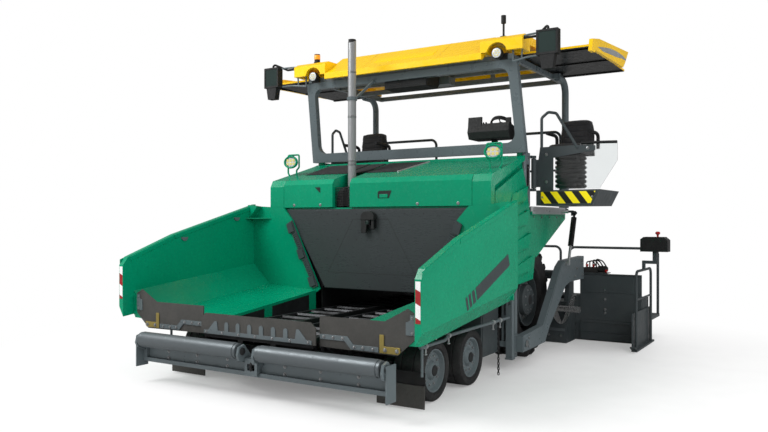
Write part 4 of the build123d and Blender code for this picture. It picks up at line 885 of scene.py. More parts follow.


# doors: gill-like scallops, black strips that paint the shade in their throats and beside their raised edges, edge
# bead, latch
doorLook = {"slashes": 4, "gillRows": 3, "gills": 3, "skin": 1.5003}


def doorShape(side):
    look = doorLook
    body, skin = "side_door_", look["skin"]
    gills = Piece(side)
    # black strips on the skin: painted shade in the slashes' throats and beside the gills' raised edges
    painted_shade = Piece(side)
    for row in range(look["slashes"]):
        y, z = -0.06 - row * 0.052, 1.08 + row * 0.27
        painted_shade.prism("x", [(y - 0.235, z - 0.05), (y - 0.195, z + 0.035), (y - 0.188, z + 0.03),
                            (y - 0.225, z - 0.054)], skin, 1.5045)
        gills.prism("x", [(y - 0.3, z - 0.1), (y - 0.285, z - 0.105), (y + 0.15, z - 0.055), (y + 0.14, z - 0.045)],
                    skin, 1.506)
    for row in range(look["gillRows"]):
        z = 1.3 + row * 0.235
        for i in range(look["gills"]):
            y = -0.62 + row * 0.03 + i * 0.085
            gills.loft([(skin, y, z - 0.05), (skin, y + 0.055, z - 0.038), (1.512, y + 0.055, z - 0.038)],
                       [(skin, y + 0.03, z + 0.07), (skin, y + 0.085, z + 0.088), (1.512, y + 0.085, z + 0.088)])
            painted_shade.loft(*([(skin, y + dy, z + dz), (1.511, y + dy, z + dz + 0.001),
                            (1.511, y + dy + 0.004, z + dz + 0.002), (skin, y + dy + 0.004, z + dz + 0.002)]
                           for dy, dz in ((0.056, -0.038), (0.086, 0.088))))
    gills.finish("door_gills_", "greenPaint", body, 0.0015)
    painted_shade.finish("door_throats_", "blackPlastic", body)
    latch = Piece(side).lathe([(0.02, 0.0), (0.02, 0.004), (0.014, 0.006)], (1.5, 0.02, 1.72), outward, 24)
    latch.box((1.5, -0.03, 1.7), (1.512, -0.01, 1.76)).finish("door_latch_", "blackPlastic", body, 0.002)
    Piece(side).box((1.5002, -0.925, 1.205), (1.5045, -0.911, 1.785)).finish("door_edge_", "greenPaint", body, 0.001)


# stack: black mouth and clamp bands
stackLook = {"x": -0.43, "y": -0.735, "bands": (2.32, 2.36, 2.9, 3.44)}


def stackShape():
    x, y = stackLook["x"], stackLook["y"]
    Piece().lathe([(0.043, -0.12), (0.0455, -0.004), (0.0465, -0.0015), (0.03, -0.003), (0.028, -0.12)],
                  (x, y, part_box("exhaust_stack")[1][2]), up, 32).finish("stack_mouth", "castIron", "tractor")
    bands = Piece()
    for z in stackLook["bands"]:
        bands.faceLoop([[(x + r * math.cos(a), y + r * math.sin(a), z + along) for a in turns(48)] for r, along in
                        ((0.0503, -0.012), (0.0525, -0.01), (0.0525, 0.01), (0.0503, 0.012))], caps=False)
        bands.bolt((x + 0.052, y, z), outward, 0.005)
    bands.finish("stack_bands", "boltSteel", "tractor")


hoodTrimShape()
stackShape()
for side in sides:
    doorShape(side)
print("hood, doors and stack")


# work lamps on the hood corners: oval face in a green hoop, cells behind the lens
lampLook = {"cells": 6, "hoopTube": 0.011, "place": (1.402, -0.695, 2.393)}


def hoopLampShape(side):
    look = lampLook
    centre = Vector(look["place"])
    hoop = Piece(side)
    ring = [centre + Vector((0.098 * math.cos(a), -0.012, 0.072 * math.sin(a))) for a in turns(24)]
    rings = []
    for i, p in enumerate(ring):
        out = Vector((0, 1, 0)).cross((ring[(i + 1) % len(ring)] - ring[i - 1]).normalized())
        rings.append([hoop.at(p + out * look["hoopTube"] * math.cos(b) + Vector((0, 0.02 * math.sin(b), 0)))
                      for b in turns(8)])
    hoop.faceLoop(rings, caps=False).finish("lamp_hoop_", "greenPaint", "tractor")
    Piece(side).loft(*([centre + Vector((0.085 * scale * math.cos(a), depth, 0.06 * scale * math.sin(a)))
                        for a in turns(32)] for scale, depth in
                       ((1.0, 0.0), (0.98, -0.008), (0.9, -0.013), (0.5, -0.016)))
                     ).finish("lamp_face_", "lampLens", "tractor")
    cells = Piece(side)
    for i in range(look["cells"]):
        x = centre.x + (i % 3 - 1) * 0.048
        z = centre.z + (0.022 if i < 3 else -0.022)
        cells.box((x - 0.017, centre.y - 0.0185, z - 0.016), (x + 0.017, centre.y - 0.0145, z + 0.016))
    cells.finish("lamp_cells_", "lampCell", "tractor", 0.003)


# round lamps under the roof's front edge: a lens over six cells round a middle one
def roundLampShape(side):
    centre = Vector((1.3, -0.3785, 3.54))
    Piece(side).lathe([(0.054, 0.0), (0.054, 0.003), (0.05, 0.005), (0.02, 0.006)], centre, ahead, 32).finish(
        "round_lamp_", "lampLens", "tractor")
    cells = Piece(side)
    for r, a in [(0.032, a) for a in turns(6)] + [(0.0, 0.0)]:
        cells.lathe([(0.009, 0.0), (0.009, 0.002), (0.005, 0.003)],
                    centre + Vector((r * math.cos(a), -0.0055, r * math.sin(a))), ahead, 12)
    cells.finish("round_lamp_cells_", "lampCell", "tractor")


beaconLook = {"x": -1.33, "y": -0.24, "ribs": 24, "ribDepth": 0.0008}


def beaconShape():
    look = beaconLook
    rings = []
    for r, z in ((0.02, 3.858), (0.037, 3.852), (0.0395, 3.84), (0.0395, 3.79)):
        rings.append([])
        for i, a in enumerate(turns(look["ribs"] * 2)):
            size = r + (look["ribDepth"] if i % 2 else 0)
            rings[-1].append((look["x"] + size * math.cos(a), look["y"] + size * math.sin(a), z))
    Piece().faceLoop(rings).finish("beacon_lens", "amber", "tractor")


# roof: seams, lower lip of the nose with the pressed panel on its slope, and the black case below its front
roofLook = {"seams": (-0.53, 0.53), "slots": 7}


def noseTop(y):
    return 3.565 + 0.631 * (y + 0.38)


def roofShape():
    seams = Piece()
    line = [(-0.376, 3.5678), (0.04, 3.8302), (1.35, 3.8052), (1.65, 3.749)]
    for x in roofLook["seams"]:
        seams.prism("x", [(y, z + 0.0012) for y, z in line] + [(y, z - 0.004) for y, z in reversed(line)],
                    x - 0.005, x + 0.005)
    seams.finish("roof_seams", "yellowPaint", "tractor")
    skirt = Piece().box((-1.1, -0.3845, 3.492), (1.1, -0.3803, 3.505))
    skirt.prism("x", [(-0.26, noseTop(-0.26) + 0.0002), (-0.1, noseTop(-0.1) + 0.0002),
                      (-0.105, noseTop(-0.105) + 0.004), (-0.255, noseTop(-0.255) + 0.004)], -0.42, 0.42)
    skirt.finish("roof_nose_panel", "yellowPaint", "tractor", 0.0012)
    Piece().prism("x", [(-0.2, 3.3), (-0.2, 3.465), (-0.06, 3.478), (0.16, 3.478), (0.16, 3.36), (0.1, 3.3)],
                  -0.3, 0.3).finish("roof_case", "blackPlastic", "tractor", 0.006)
    Piece().boxes((-0.24, -0.204, 3.33), (0.24, -0.1995, 3.339), (0, 0, 0.018), roofLook["slots"]).finish(
        "roof_case_slots", "castIron", "tractor", 0.001)


awningLook = {"ribs": 4}


def awningShape(side):
    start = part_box("awning_" + side)[0][1]
    ribs = Piece(side)
    for y in rows(start + 0.2, start + 1.4, awningLook["ribs"]):
        ribs.box((1.55, y - 0.012, 3.5765), (2.2, y + 0.012, 3.58))
    ribs.finish("awning_ribs_", "yellowPaint", "awning_", 0.0012)
    curve = [(0.12, 3.585), (0.35, 3.625), (0.65, 3.67), (0.95, 3.695), (1.25, 3.7), (1.42, 3.685), (1.4, 3.665),
             (1.2, 3.655), (0.95, 3.625), (0.62, 3.6), (0.35, 3.575)]
    Piece(side).prism("x", curve, 2.3002, 2.3015).finish("awning_band_", "silverStep", "awning_")


# mirrors: dark glass set in the recess, rubber edge, tube bracket
mirrorLook = {"tube": 0.012, "x": (1.825, 2.025), "z": (3.455, 3.685), "cut": (0.01, 0.02)}


def mirrorShape(side):
    look = mirrorLook
    (x0, x1), (z0, z1), (dx, dz) = look["x"], look["z"], look["cut"]
    Piece(side).prism("y", [(x0 + dx, z0), (x1 - dx, z0), (x1, z0 + dz), (x1, z1 - dz), (x1 - dx, z1), (x0 + dx, z1),
                            (x0, z1 - dz), (x0, z0 + dz)], -0.4785, -0.4755).finish(
        "mirror_face_", "mirrorGlass", "tractor", 0.001)
    bracket = Piece(side)
    for z in (3.705, 3.46):
        bracket.pipe([(1.47, -0.3, z - 0.02), (1.66, -0.34, z), (1.803, -0.4, z - 0.01)], look["tube"], 8, 0.03)
    bracket.pipe([(1.6, -0.325, 3.7), (1.58, -0.325, 3.45)], 0.01, 8)
    bracket.pipe([(1.47, -0.3, 3.44), (1.47, -0.3, 3.7)], look["tube"], 8)
    bracket.finish("mirror_bracket_", "armPaint", "tractor")
    rim = Piece(side)
    for z0, z1, x0, x1 in ((3.441, 3.459, 1.806, 2.044), (3.681, 3.699, 1.806, 2.044), (3.459, 3.681, 1.806, 1.824),
                           (3.459, 3.681, 2.026, 2.044)):
        rim.box((x0, -0.4848, z0), (x1, -0.4765, z1))
    rim.finish("mirror_rim_", "blackPlastic", "tractor", 0.003)


# column with its grab handle beside each foot of the portal
def grabShape(side):
    Piece(side).prism("z", [(1.4655, -0.01), (1.4655, 0.165), (1.498, 0.165), (1.498, 0.03), (1.485, -0.01)],
                      1.812, 2.44).finish("grab_casing_", "armPaint", "tractor", 0.006)
    Piece(side).box((1.4982, 0.045, 2.02), (1.4995, 0.125, 2.3)).finish("grab_recess_", "blackPlastic", "tractor")
    Piece(side).pipe([(1.498, 0.085, 2.05), (1.515, 0.085, 2.06), (1.515, 0.085, 2.26), (1.498, 0.085, 2.27)],
                     0.008, 8, 0.012).finish("grab_handle_", "boltSteel", "tractor")
    Piece(side).bolts([(1.4985, 0.1, z) for z in (1.87, 2.38)], outward, 0.009).finish(
        "portal_bolts_", "boltSteel", "tractor")


for side in sides:
    hoopLampShape(side)
    roundLampShape(side)
    awningShape(side)
    mirrorShape(side)
    grabShape(side)
beaconShape()
roofShape()
print("lamps, roof and mirrors")




# seats: each cushion and backrest is one crowned pad with its own cloth run, over a shell and bellows
seatLook = {"voxel": 0.006, "pressure": 4.0, "cap": 0.012, "frames": 14, "channels": 4, "channelDepth": 0.007,
            "piping": 0.006, "rounding": 0.06, "backTaper": 0.1, "folds": 7}
seatParts = {  # low and high corners from the seat's own centre line, seat facing forward
    "cushion": ((-0.222, -0.228, 2.449), (0.222, 0.215, 2.548)),
    "back": ((-0.205, 0.212, 2.53), (0.205, 0.325, 2.885)),
}
seatShells = (  # pan and back shell: a lower and an upper outline each, with its height
    ((2.43, ((-0.165, -0.165), (0.165, -0.165), (0.165, 0.165), (-0.165, 0.165))),
     (2.452, ((-0.19, -0.2), (0.19, -0.2), (0.19, 0.2), (-0.19, 0.2)))),
    ((2.44, ((-0.2, 0.325), (0.2, 0.325), (0.2, 0.2), (-0.2, 0.2))),
     (2.6, ((-0.19, 0.329), (0.19, 0.329), (0.19, 0.3), (-0.19, 0.3)))),
)


def roundedPad(low, high, crown, taper):  # box with softened corners and a crowned top, ready for the cloth run
    mesh = bmesh.new()
    bmesh.ops.create_cube(mesh, size=1.0)
    bmesh.ops.subdivide_edges(mesh, edges=mesh.edges[:], cuts=5, use_grid_fill=True)
    for vert in mesh.verts:
        x, y, z = (2 * value for value in vert.co)
        other = y if taper == "flat" else z
        lift = (1 - x * x) * (1 - other * other)
        narrow = 1 - seatLook["rounding"] * (x * x * other * other)
        if taper == "flat":
            x, y = x * narrow, y * narrow
            z += crown * lift * (1 if z > 0 else 0)
        else:
            x, z = x * narrow, z * narrow
            x *= 1 - seatLook["backTaper"] * max(0.0, z)
            y -= crown * lift * (1 if y < 0 else 0)
        vert.co = [(a + b) / 2 + value * (b - a) / 2 for a, b, value in zip(low, high, (x, y, z))]
    return mesh


def clothPad(name, low, high, crown, taper, body, turn):
    obj = addObject(name, meshOf(name, roundedPad(low, high, crown, taper)))
    bpy.context.view_layer.objects.active = obj
    edge = obj.modifiers.new("edge", "BEVEL")
    edge.width, edge.segments, edge.limit_method, edge.angle_limit = 0.02, 3, "ANGLE", math.radians(50)
    remesh = obj.modifiers.new("remesh", "REMESH")
    remesh.mode, remesh.voxel_size = "VOXEL", seatLook["voxel"] * 1
    bake(obj)
    start = [v.co.copy() for v in obj.data.vertices]
    cloth = obj.modifiers.new("cloth", "CLOTH")
    cloth.settings.use_pressure = True
    cloth.settings.uniform_pressure_force = seatLook["pressure"]
    cloth.settings.effector_weights.gravity = 0.0
    cloth.settings.quality = 4
    for step in range(1, seatLook["frames"] + 1):
        bpy.context.scene.frame_set(step)
    bake(obj)
    bpy.context.scene.frame_set(1)
    for vert, was in zip(obj.data.vertices, start):
        move = vert.co - was
        if move.length > seatLook["cap"]:
            vert.co = was + move.normalized() * seatLook["cap"]
    seamChannels(obj, low, high, taper)
    obj.data.transform(turn)
    for face in obj.data.polygons:
        face.use_smooth = True
    smooth = obj.modifiers.new("smooth", "SUBSURF")
    smooth.levels = smooth.render_levels = 1
    obj.data.materials.append(finishes["seatCloth"])
    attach(obj, body)
    return obj


def bake(obj):
    depsgraph = bpy.context.evaluated_depsgraph_get()
    mesh = bpy.data.meshes.new_from_object(obj.evaluated_get(depsgraph))
    obj.modifiers.clear()
    obj.data = mesh


def seamChannels(obj, low, high, taper):  # sewn channels across the face and a piping groove round the edge
    for vert in obj.data.vertices:
        x, y, z = vert.co
        if taper == "flat":
            across = (y - low[1]) / (high[1] - low[1])
            if z > (low[2] + high[2]) / 2 and abs(x) < 0.15:
                vert.co.z -= groove(across)
            if abs(abs(x) - 0.155) < 0.007 and z > low[2] + 0.04:
                vert.co.z -= seatLook["piping"]
        else:
            across = (z - low[2]) / (high[2] - low[2])
            if y < (low[1] + high[1]) / 2 and abs(x) < 0.14:
                vert.co.y += groove(across)
            if abs(abs(x) - 0.145) < 0.007 and y < (low[1] + high[1]) / 2:
                vert.co.y += seatLook["piping"]


def groove(t):
    near = min(abs(t - (k + 1) / (seatLook["channels"] + 1)) for k in range(seatLook["channels"]))
    return seatLook["channelDepth"] * math.exp(-(near / 0.022) ** 2)


def seatShape(side, place):
    turn = Matrix.Translation((place[0], place[1], 0))
    body = "seat_"
    pads = [clothPad("seat_%s_%s" % (part, side), *seatParts[part], 0.12 if part == "cushion" else 0.18,
                     "flat" if part == "cushion" else "upright", body + side, turn) for part in seatParts]
    shell = Piece(side, turn)
    for first, second in seatShells:
        shell.loft(*([(x, y, z) for x, y in corners] for z, corners in (first, second)))
    for s in (-1, 1):  # arm rests
        shell.pipe([(s * 0.258, y, z) for y, z in ((0.25, 2.52), (0.25, 2.685), (0.18, 2.705), (-0.12, 2.705))],
                   0.022, 12, 0.05)
    bellows = Piece(side, turn)
    for i in range(seatLook["folds"]):
        rings = []
        for grow, lift in ((0.0, 0.0), (0.018, 0.02), (0.018, 0.034), (0.0, 0.054)):
            w, d, corner = 0.14 + grow, 0.145 + grow, 0.04
            rings.append([(x, y, 2.035 + i * 0.056 + lift) for x, y in
                          ((-w + corner, -d), (w - corner, -d), (w, -d + corner), (w, d - corner), (w - corner, d),
                           (-w + corner, d), (-w, d - corner), (-w, -d + corner))])
        bellows.loft(*rings)
    bellows.finish("seat_bellows_", "skirtRubber", body, 0.002)
    shell.finish("seat_shell_", "blackPlastic", body, 0.006)
    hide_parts("seat_" + side)


# hazard plate, bracket bolts, floor mat and the dark bar over the pane, on the left unit as drawn
bayLook = {
    "plate": ((1.6, 1.833), (2.205, 1.833), (2.262, 1.99), (1.6, 1.99)), "tapeInset": 0.01, "matBars": 8,
    "bolts": ((1.66, 2.1), (1.66, 2.42), (2.15, 2.473)), "bracketFace": 0.2618, "plateBolts": (1.628, 2.215),
    "plateFace": 0.2158,
}


def bayShape(side, turn):
    look = bayLook
    body = "seat_unit_"

    def plateOf(inset, y0, y1):
        moves = ((inset, inset), (-inset, inset), (-inset, -inset), (inset, -inset))
        outline = [(x + dx, z + dz) for (x, z), (dx, dz) in zip(look["plate"], moves)]
        return Piece(side, turn).prism("y", outline, y0, y1)

    plateOf(0.0, 0.2178, 0.2218).finish("bay_plate_frame_", "framePaint", body, 0.0015)
    plateOf(look["tapeInset"], 0.216, 0.2176).finish("bay_hazard_plate_", "hazardTape", body, 0.0004)
    bolts = Piece(side, turn).bolts([(x, look["bracketFace"], z) for x, z in look["bolts"]], ahead, 0.013)
    bolts.bolts([(x, look["plateFace"], 1.915) for x in look["plateBolts"]], ahead, 0.008).finish(
        "bay_bolts_", "boltSteel", body)
    Piece(side, turn).pipe([(2.066, 0.284, 2.5405), (2.25, 0.284, 2.537), (2.474, 0.284, 2.53)], 0.017, 12).finish(
        "pane_top_bar_", "blackPaint", body)
    mat = Piece(side, turn)
    for x0, x1 in ((1.585, 1.7), (1.965, 2.25)):
        mat.boxes((x0, 0.3, 2.0002), (x1, 0.355, 2.0035), (0, 0.09, 0), look["matBars"])
    mat.finish("bay_floor_mat_", "skirtRubber", body, 0.001)


def swingIn():  # the right-hand unit is the mirrored left one turned in round its pin
    pin = Vector((1.52, 0.22, 0))
    return (Matrix.Scale(-1, 4, (1, 0, 0)) @ Matrix.Translation(pin) @ Matrix.Rotation(math.radians(90), 4, "Z")
            @ Matrix.Translation(-pin))


seatShape("left", (1.83, 0.66))
seatShape("right", (-1.08, 0.53))
bayShape("left", Matrix.Identity(4))
bayShape("right", swingIn())
print("seats and seat bays")


# console: steering wheel with its spokes and hub, and a row of levers
consoleLook = {"levers": 4, "wheelRadius": 0.118, "rim": 0.011, "tilt": -38, "spokes": 3}


def consoleShape():
    look = consoleLook
    tilt = Matrix.Translation((1.16, 0.095, 2.795)) @ Matrix.Rotation(math.radians(look["tilt"]), 4, "X")
    wheel = Piece(turn=tilt)
    rings = []
    for a in turns(36):
        sizes = [(look["wheelRadius"] + look["rim"] * math.cos(b), 0.012 + look["rim"] * math.sin(b)) for b in turns(8)]
        rings.append([wheel.at((r * math.cos(a), r * math.sin(a), z)) for r, z in sizes])
    wheel.faceLoop(rings, caps=False)
    for a in turns(look["spokes"]):
        x, y = math.cos(a + 0.5), math.sin(a + 0.5)
        wheel.rod((0.02 * x, 0.02 * y, 0.0), (0.112 * x, 0.112 * y, 0.011), 0.007, 8)
    wheel.lathe([(0.026, -0.012), (0.026, 0.008), (0.018, 0.014)], (0, 0, 0), up, 20)
    wheel.finish("steering_wheel", "blackPlastic", "console")
    levers = Piece()
    for i in range(look["levers"]):
        x = 0.9 + i * 0.035
        levers.rod((x, 0.02, 2.745), (x, 0.008, 2.8), 0.004, 8)
        levers.lathe([(0.004, 0.0), (0.01, 0.01), (0.01, 0.018), (0.004, 0.026)], (x, 0.008, 2.796), (0, -0.2, 1), 12)
    levers.finish("console_levers", "blackPlastic", "console")


# cleats and faces of the step bars, fender skins and their bolts
deckLook = {"treads": 22, "fenderBolts": 5, "lozengesAcross": 26, "lozengesAlong": 12, "lozengePitch": 0.1}


def deckShape(side):
    look = deckLook
    steps = Piece(side)
    for y in rows(0.21, 1.41, look["treads"]):
        steps.box((1.474, y - 0.01, 1.8082), (1.508, y + 0.01, 1.8112))
    steps.finish("step_cleats_", "silverStep", "tractor", 0.001)
    Piece(side).box((1.5122, 0.2, 1.722), (1.5142, 1.42, 1.796)).finish("step_face_", "silverStep", "tractor", 0.0008)
    Piece(side).prism("x", [(0.178, 1.706), (1.498, 1.706), (1.498, 1.664), (0.402, 1.205), (0.356, 1.221)],
                      1.4853, 1.4885).finish("fender_face_", "greenPaint", "tractor", 0.001)
    bolts = Piece(side).bolts([(1.4887, 0.3 + i * 0.28, 1.685) for i in range(look["fenderBolts"])], outward, 0.009)
    bolts.bolts([(1.5143, y, 1.76) for y in (0.25, 0.8, 1.37)], outward, 0.008).finish(
        "fender_bolts_", "boltSteel", "tractor")


# one raised lozenge: a foot and a smaller top. Corners lie in opposite pairs, each with its reach and its shift
def lozenge(cx, cy, lean):
    rings = []
    for far, reach, near, tip, z in ((0.022, 0.004, 0.018, 0.006, 1.8001), (0.018, 0.002, 0.016, 0.003, 1.803)):
        rings.append([(cx + s * a, cy + s * (a * lean + shift), z) for s, a, shift in
                      ((-1, far, reach), (-1, near, -tip), (1, far, reach), (1, near, -tip))])
    return rings


def deckPlate():  # tread plate where people walk, with a clear round under the right-hand seat
    look = deckLook
    plate = Piece()
    for i in range(look["lozengesAcross"]):
        for k in range(look["lozengesAlong"]):
            cx, cy = -1.25 + i * look["lozengePitch"], 0.32 + k * look["lozengePitch"]
            if (cx + 1.08) ** 2 + (cy - 0.53) ** 2 >= 0.05:
                plate.loft(*lozenge(cx, cy, 1 if (i + k) % 2 else -1))
    plate.finish("deck_tread", "framePaint", "tractor")


# bolts, edge ribs and pin caps of the tow arms; places are (along, up)
armLook = {
    "face": 1.632, "bolt": 0.014,
    "bolts": ((-0.25, 0.33), (-0.25, 0.23), (1.46, 0.905), (1.78, 1.1), (1.78, 0.91), (1.54, 1.005)),
    "top": ((0.25, 0.398), (0.87, 1.048), (1.02, 1.122), (1.84, 1.147)),
    "plate": ((-0.4, 0.205), (-0.1, 0.205), (-0.06, 0.29), (-0.1, 0.36), (-0.4, 0.35)),
}


def armShape(side):
    look = armLook
    face = look["face"]
    Piece(side).bolts([(face, y, z) for y, z in look["bolts"]], outward, look["bolt"]).finish(
        "arm_bolts_", "boltSteel", "screed")
    ribs = Piece(side)
    for ends in zip(look["top"], look["top"][1:]):
        ribs.loft(*([(face + dx, y, z - drop) for dx, drop in
                     ((0.0002, 0.018), (0.006, 0.018), (0.006, 0.004), (0.0002, 0.004))] for y, z in ends))
    ribs.prism("x", look["plate"], face + 0.0002, face + 0.005).finish("arm_ribs_", "armPaint", "screed", 0.0012)
    Piece(side).lathe([(0.038, 0.0), (0.038, 0.006), (0.03, 0.01)], (1.644, -0.33, 0.275), outward, 24).finish(
        "tow_pin_cap_", "boltSteel", "tow_carriages")


# screed: lids with handles, bolts, tamper strip and the bars of the middle walkway
screedLook = {"lids": 5, "bolts": 9, "walkwayBars": 40}


def screedShape():
    look = screedLook
    lids = Piece()
    for x in rows(-1.12, 1.12, look["lids"]):
        lids.box((x - 0.12, 1.56, 0.5602), (x + 0.12, 1.68, 0.572))
        lids.pipe([(x - 0.04, 1.62, 0.572), (x - 0.04, 1.62, 0.592), (x + 0.04, 1.62, 0.592), (x + 0.04, 1.62, 0.572)],
                  0.005, 8, 0.01)
    lids.finish("screed_lids", "framePaint", "screed", 0.003)
    bolts, strip = Piece(), Piece()
    for s in (-1, 1):
        bolts.bolts([(s * x, 1.5198, 0.1) for x in rows(0.1, 1.42, look["bolts"])], ahead)
        strip.box((s * 0.03, 1.5145, 0.16), (s * 1.48, 1.5198, 0.2))
    bolts.finish("screed_bolts", "boltSteel", "screed")
    strip.finish("tamper_strip", "rollerSteel", "screed", 0.001)
    Piece().boxes((-0.92, 2.37, 0.4002), (-0.908, 3.01, 0.4045), (0.0465, 0, 0), look["walkwayBars"]).finish(
        "walkway_bars_centre", "framePaint", "screed")


# extension: bands and bolts of its front, hoses and taps on its tray, lids, knob and walkway bars
extensionLook = {"face": 1.925, "faceBolts": 6, "hoses": 4, "lids": 3, "walkwayBars": 30}
knobProfile = [(0.01, 0.0), (0.014, 0.02), (0.028, 0.028), (0.028, 0.046), (0.016, 0.056)]
tapProfile = [(0.008, 0.0), (0.012, 0.015), (0.02, 0.022), (0.02, 0.036), (0.01, 0.042)]


def extensionShape(side):
    look = extensionLook
    body, face = "extension_", look["face"]
    bolts = Piece(side).bolts([(1.9, face, z) for z in (0.7, 0.575, 0.44, 0.39)], ahead, 0.012)
    bolts.bolts([(1.62 + i * 0.14, face, 0.075) for i in range(look["faceBolts"])], ahead, 0.009).finish(
        "extension_bolts_", "boltSteel", body)
    bands = Piece(side)
    for z0, z1, depth in ((0.665, 0.918, 0.01), (0.25, 0.285, 0.012), (0.02, 0.118, 0.014)):
        bands.box((1.57, face - depth, z0), (2.375, face - 0.0002, z1))
    bands.prism("x", [(face - 0.0102, 0.902), (face - 0.034, 0.912), (face - 0.034, 0.918), (face - 0.0102, 0.918)],
                1.57, 2.375).finish("extension_bands_", "framePaint", body, 0.0015)
    pack = Piece(side)  # valve block, slide motor and hoses at the inner top edge
    pack.box((1.6, face + 0.03, 0.9306), (1.78, face + 0.16, 1.0))
    pack.lathe([(0.04, 0.0), (0.045, 0.02), (0.045, 0.11), (0.03, 0.13)], (1.7805, face + 0.1, 0.977), outward, 20)
    for i in range(look["hoses"]):
        x = 1.62 + i * 0.045
        pack.pipe([(x, face + 0.1, 1.00), (x, face + 0.1, 1.07 + i * 0.015), (x + 0.1, face + 0.06, 1.09),
                   (x + 0.16, face + 0.03, 1.01)], 0.009, 8, 0.03)
    pack.finish("extension_hoses_", "skirtRubber", body)
    Piece(side).box((1.585, face + 0.001, 0.9205), (1.93, face + 0.18, 0.9305)).finish(
        "extension_tray_", "framePaint", body, 0.001)
    taps = Piece(side)
    for x, z in ((1.64, 1.0), (1.73, 1.0), (1.9, 0.9305)):
        taps.lathe(tapProfile, (x, face + 0.06, z), up, 16)
    taps.finish("extension_taps_", "redPlastic", body)
    Piece(side).boxes((1.06, 2.02, 0.6002), (1.34, 2.26, 0.612), (0.42, 0, 0), look["lids"]).finish(
        "extension_lids_", "framePaint", body, 0.003)
    Piece(side).boxes((1.04, 2.36, 0.2902), (1.052, 3.05, 0.2945), (0.044, 0, 0), look["walkwayBars"]).finish(
        "walkway_bars_", "framePaint", body)
    Piece(side).lathe(knobProfile, (2.2, 2.14, 0.612), up, 20).finish("extension_knob_", "redPlastic", body)


# end gate: blank console face, knobs, stop button, keys and bolts
gateLook = {"knobs": 4, "pitch": 0.065}


def endGateShape(side):
    look = gateLook
    body = "end_gate_"
    Piece(side).box((2.425, 1.7405, 1.265), (2.71, 1.7448, 1.375)).finish(
        "gate_console_face_", "blackPlastic", body, 0.001)
    knobs, keys = Piece(side), Piece(side)
    for i in range(look["knobs"]):
        x = 2.46 + i * look["pitch"]
        knobs.lathe([(0.012, 0.0), (0.012, 0.01), (0.009, 0.013)], (x, 1.936, 1.345), (0, 1, 0), 16)
        for z in (1.27, 1.3):
            keys.box((x - 0.015, 1.9352, z), (x + 0.015, 1.939, z + 0.015))
    knobs.finish("gate_knobs_", "redPlastic", body)
    Piece(side).lathe([(0.012, 0.0), (0.014, 0.03), (0.03, 0.038), (0.03, 0.06), (0.016, 0.07)], (2.6, 1.84, 1.4302),
                      up, 20).finish("gate_stop_", "redPlastic", body)
    keys.finish("gate_keys_", "silverStep", body, 0.001)
    Piece(side).bolts([(2.3972, y, z) for y in (1.47, 2.31) for z in (0.12, 0.4)], outward, 0.012).finish(
        "gate_bolts_", "boltSteel", body)


# guide bar with clamps above the steered wheels, its chain, side tank, tow guide and hoses
guideLook = {"x": 1.545, "clamps": (-2.5, -2.06, -1.04, -0.86), "links": 21, "linkPitch": 0.026, "linkWire": 0.005}


def chainShape(side):
    look = guideLook
    links = Piece()
    for i in range(look["links"]):
        place = Matrix.Translation((sides[side] * look["x"], -0.9, 0.555 - i * look["linkPitch"]))
        turn = place @ Matrix.Rotation(math.radians(90 if i % 2 else 0), 4, "Z")
        rings = []
        for a in turns(10):
            centre = Vector((0.01 * math.cos(a), 0, 0.017 * math.sin(a)))
            out = Vector((math.cos(a), 0, math.sin(a)))
            rings.append([turn @ (centre + (out * math.cos(b) + Vector((0, math.sin(b), 0))) * look["linkWire"])
                          for b in turns(6)])
        links.faceLoop(rings, caps=False)
    links.finish("hanging_chain_" + side, "castIron", "tractor")


def guideShape(side):
    look = guideLook
    x = look["x"]
    bar = Piece(side).pipe([(x, -2.6, 0.556), (x, -2.13, 0.556), (x, -2.07, 0.59), (x, -0.72, 0.59)], 0.016, 10)
    bar.pipe([(x, -2.565, 0.3), (x, -2.565, 0.556)], 0.013, 8)
    bar.pipe([(x, -0.73, 0.59), (x, -0.6, 0.59), (1.47, -0.56, 0.59)], 0.013, 8, 0.03)
    bar.finish("guide_bar_", "armPaint", "tractor")
    clamps = Piece(side)
    for y in look["clamps"]:
        z = 0.556 if y < -2.1 else 0.59
        clamps.lathe([(0.024, -0.014), (0.026, -0.01), (0.026, 0.01), (0.024, 0.014)], (x, y, z), (0, 1, 0), 16)
        clamps.box((x - 0.004, y - 0.009, z - 0.062), (x + 0.004, y + 0.009, z - 0.02))
        clamps.lathe([(0.007, 0.0), (0.015, 0.008), (0.015, 0.014), (0.007, 0.018)], (x, y, z - 0.062), (0, 0, -1), 10)
    clamps.finish("guide_clamps_", "silverStep", "tractor")
    chainShape(side)
    tank = Piece(side)  # closed box between the steered wheels and the drive wheel, with a raised face
    tank.prism("x", [(-1.02, 0.2), (-0.56, 0.2), (-0.56, 0.86), (-0.84, 0.86), (-1.02, 0.66)], 0.98, 1.4)
    tank.prism("x", [(-0.99, 0.24), (-0.59, 0.24), (-0.59, 0.82), (-0.82, 0.82), (-0.99, 0.63)], 1.4002, 1.406)
    tank.finish("side_tank_", "framePaint", "tractor", 0.008)
    rail = Piece(side)  # upright tow guide: two cheeks joined by plates below and above its slot
    for x0, x1, z0, z1 in ((1.474, 1.493, 0.135, 0.9), (1.529, 1.548, 0.135, 0.9), (1.493, 1.529, 0.135, 0.71),
                           (1.493, 1.529, 0.87, 0.9)):
        rail.box((x0, -0.53, z0), (x1, -0.457, z1))
    rail.box((1.466, -0.536, 0.115), (1.556, -0.455, 0.134)).finish("tow_guide_", "armPaint", "tractor", 0.002)
    hoses = Piece(side)
    for i, drop in enumerate((0.0, 0.03, 0.06)):
        hoses.pipe([(1.42 + i * 0.03, -0.55, 0.8 - drop), (1.45 + i * 0.02, -0.6, 0.92 - drop),
                    (1.47, -0.58 + i * 0.02, 1.02), (1.4, -0.5, 1.1)], 0.008, 8, 0.05)
    hoses.finish("tow_hoses_", "skirtRubber", "tractor")


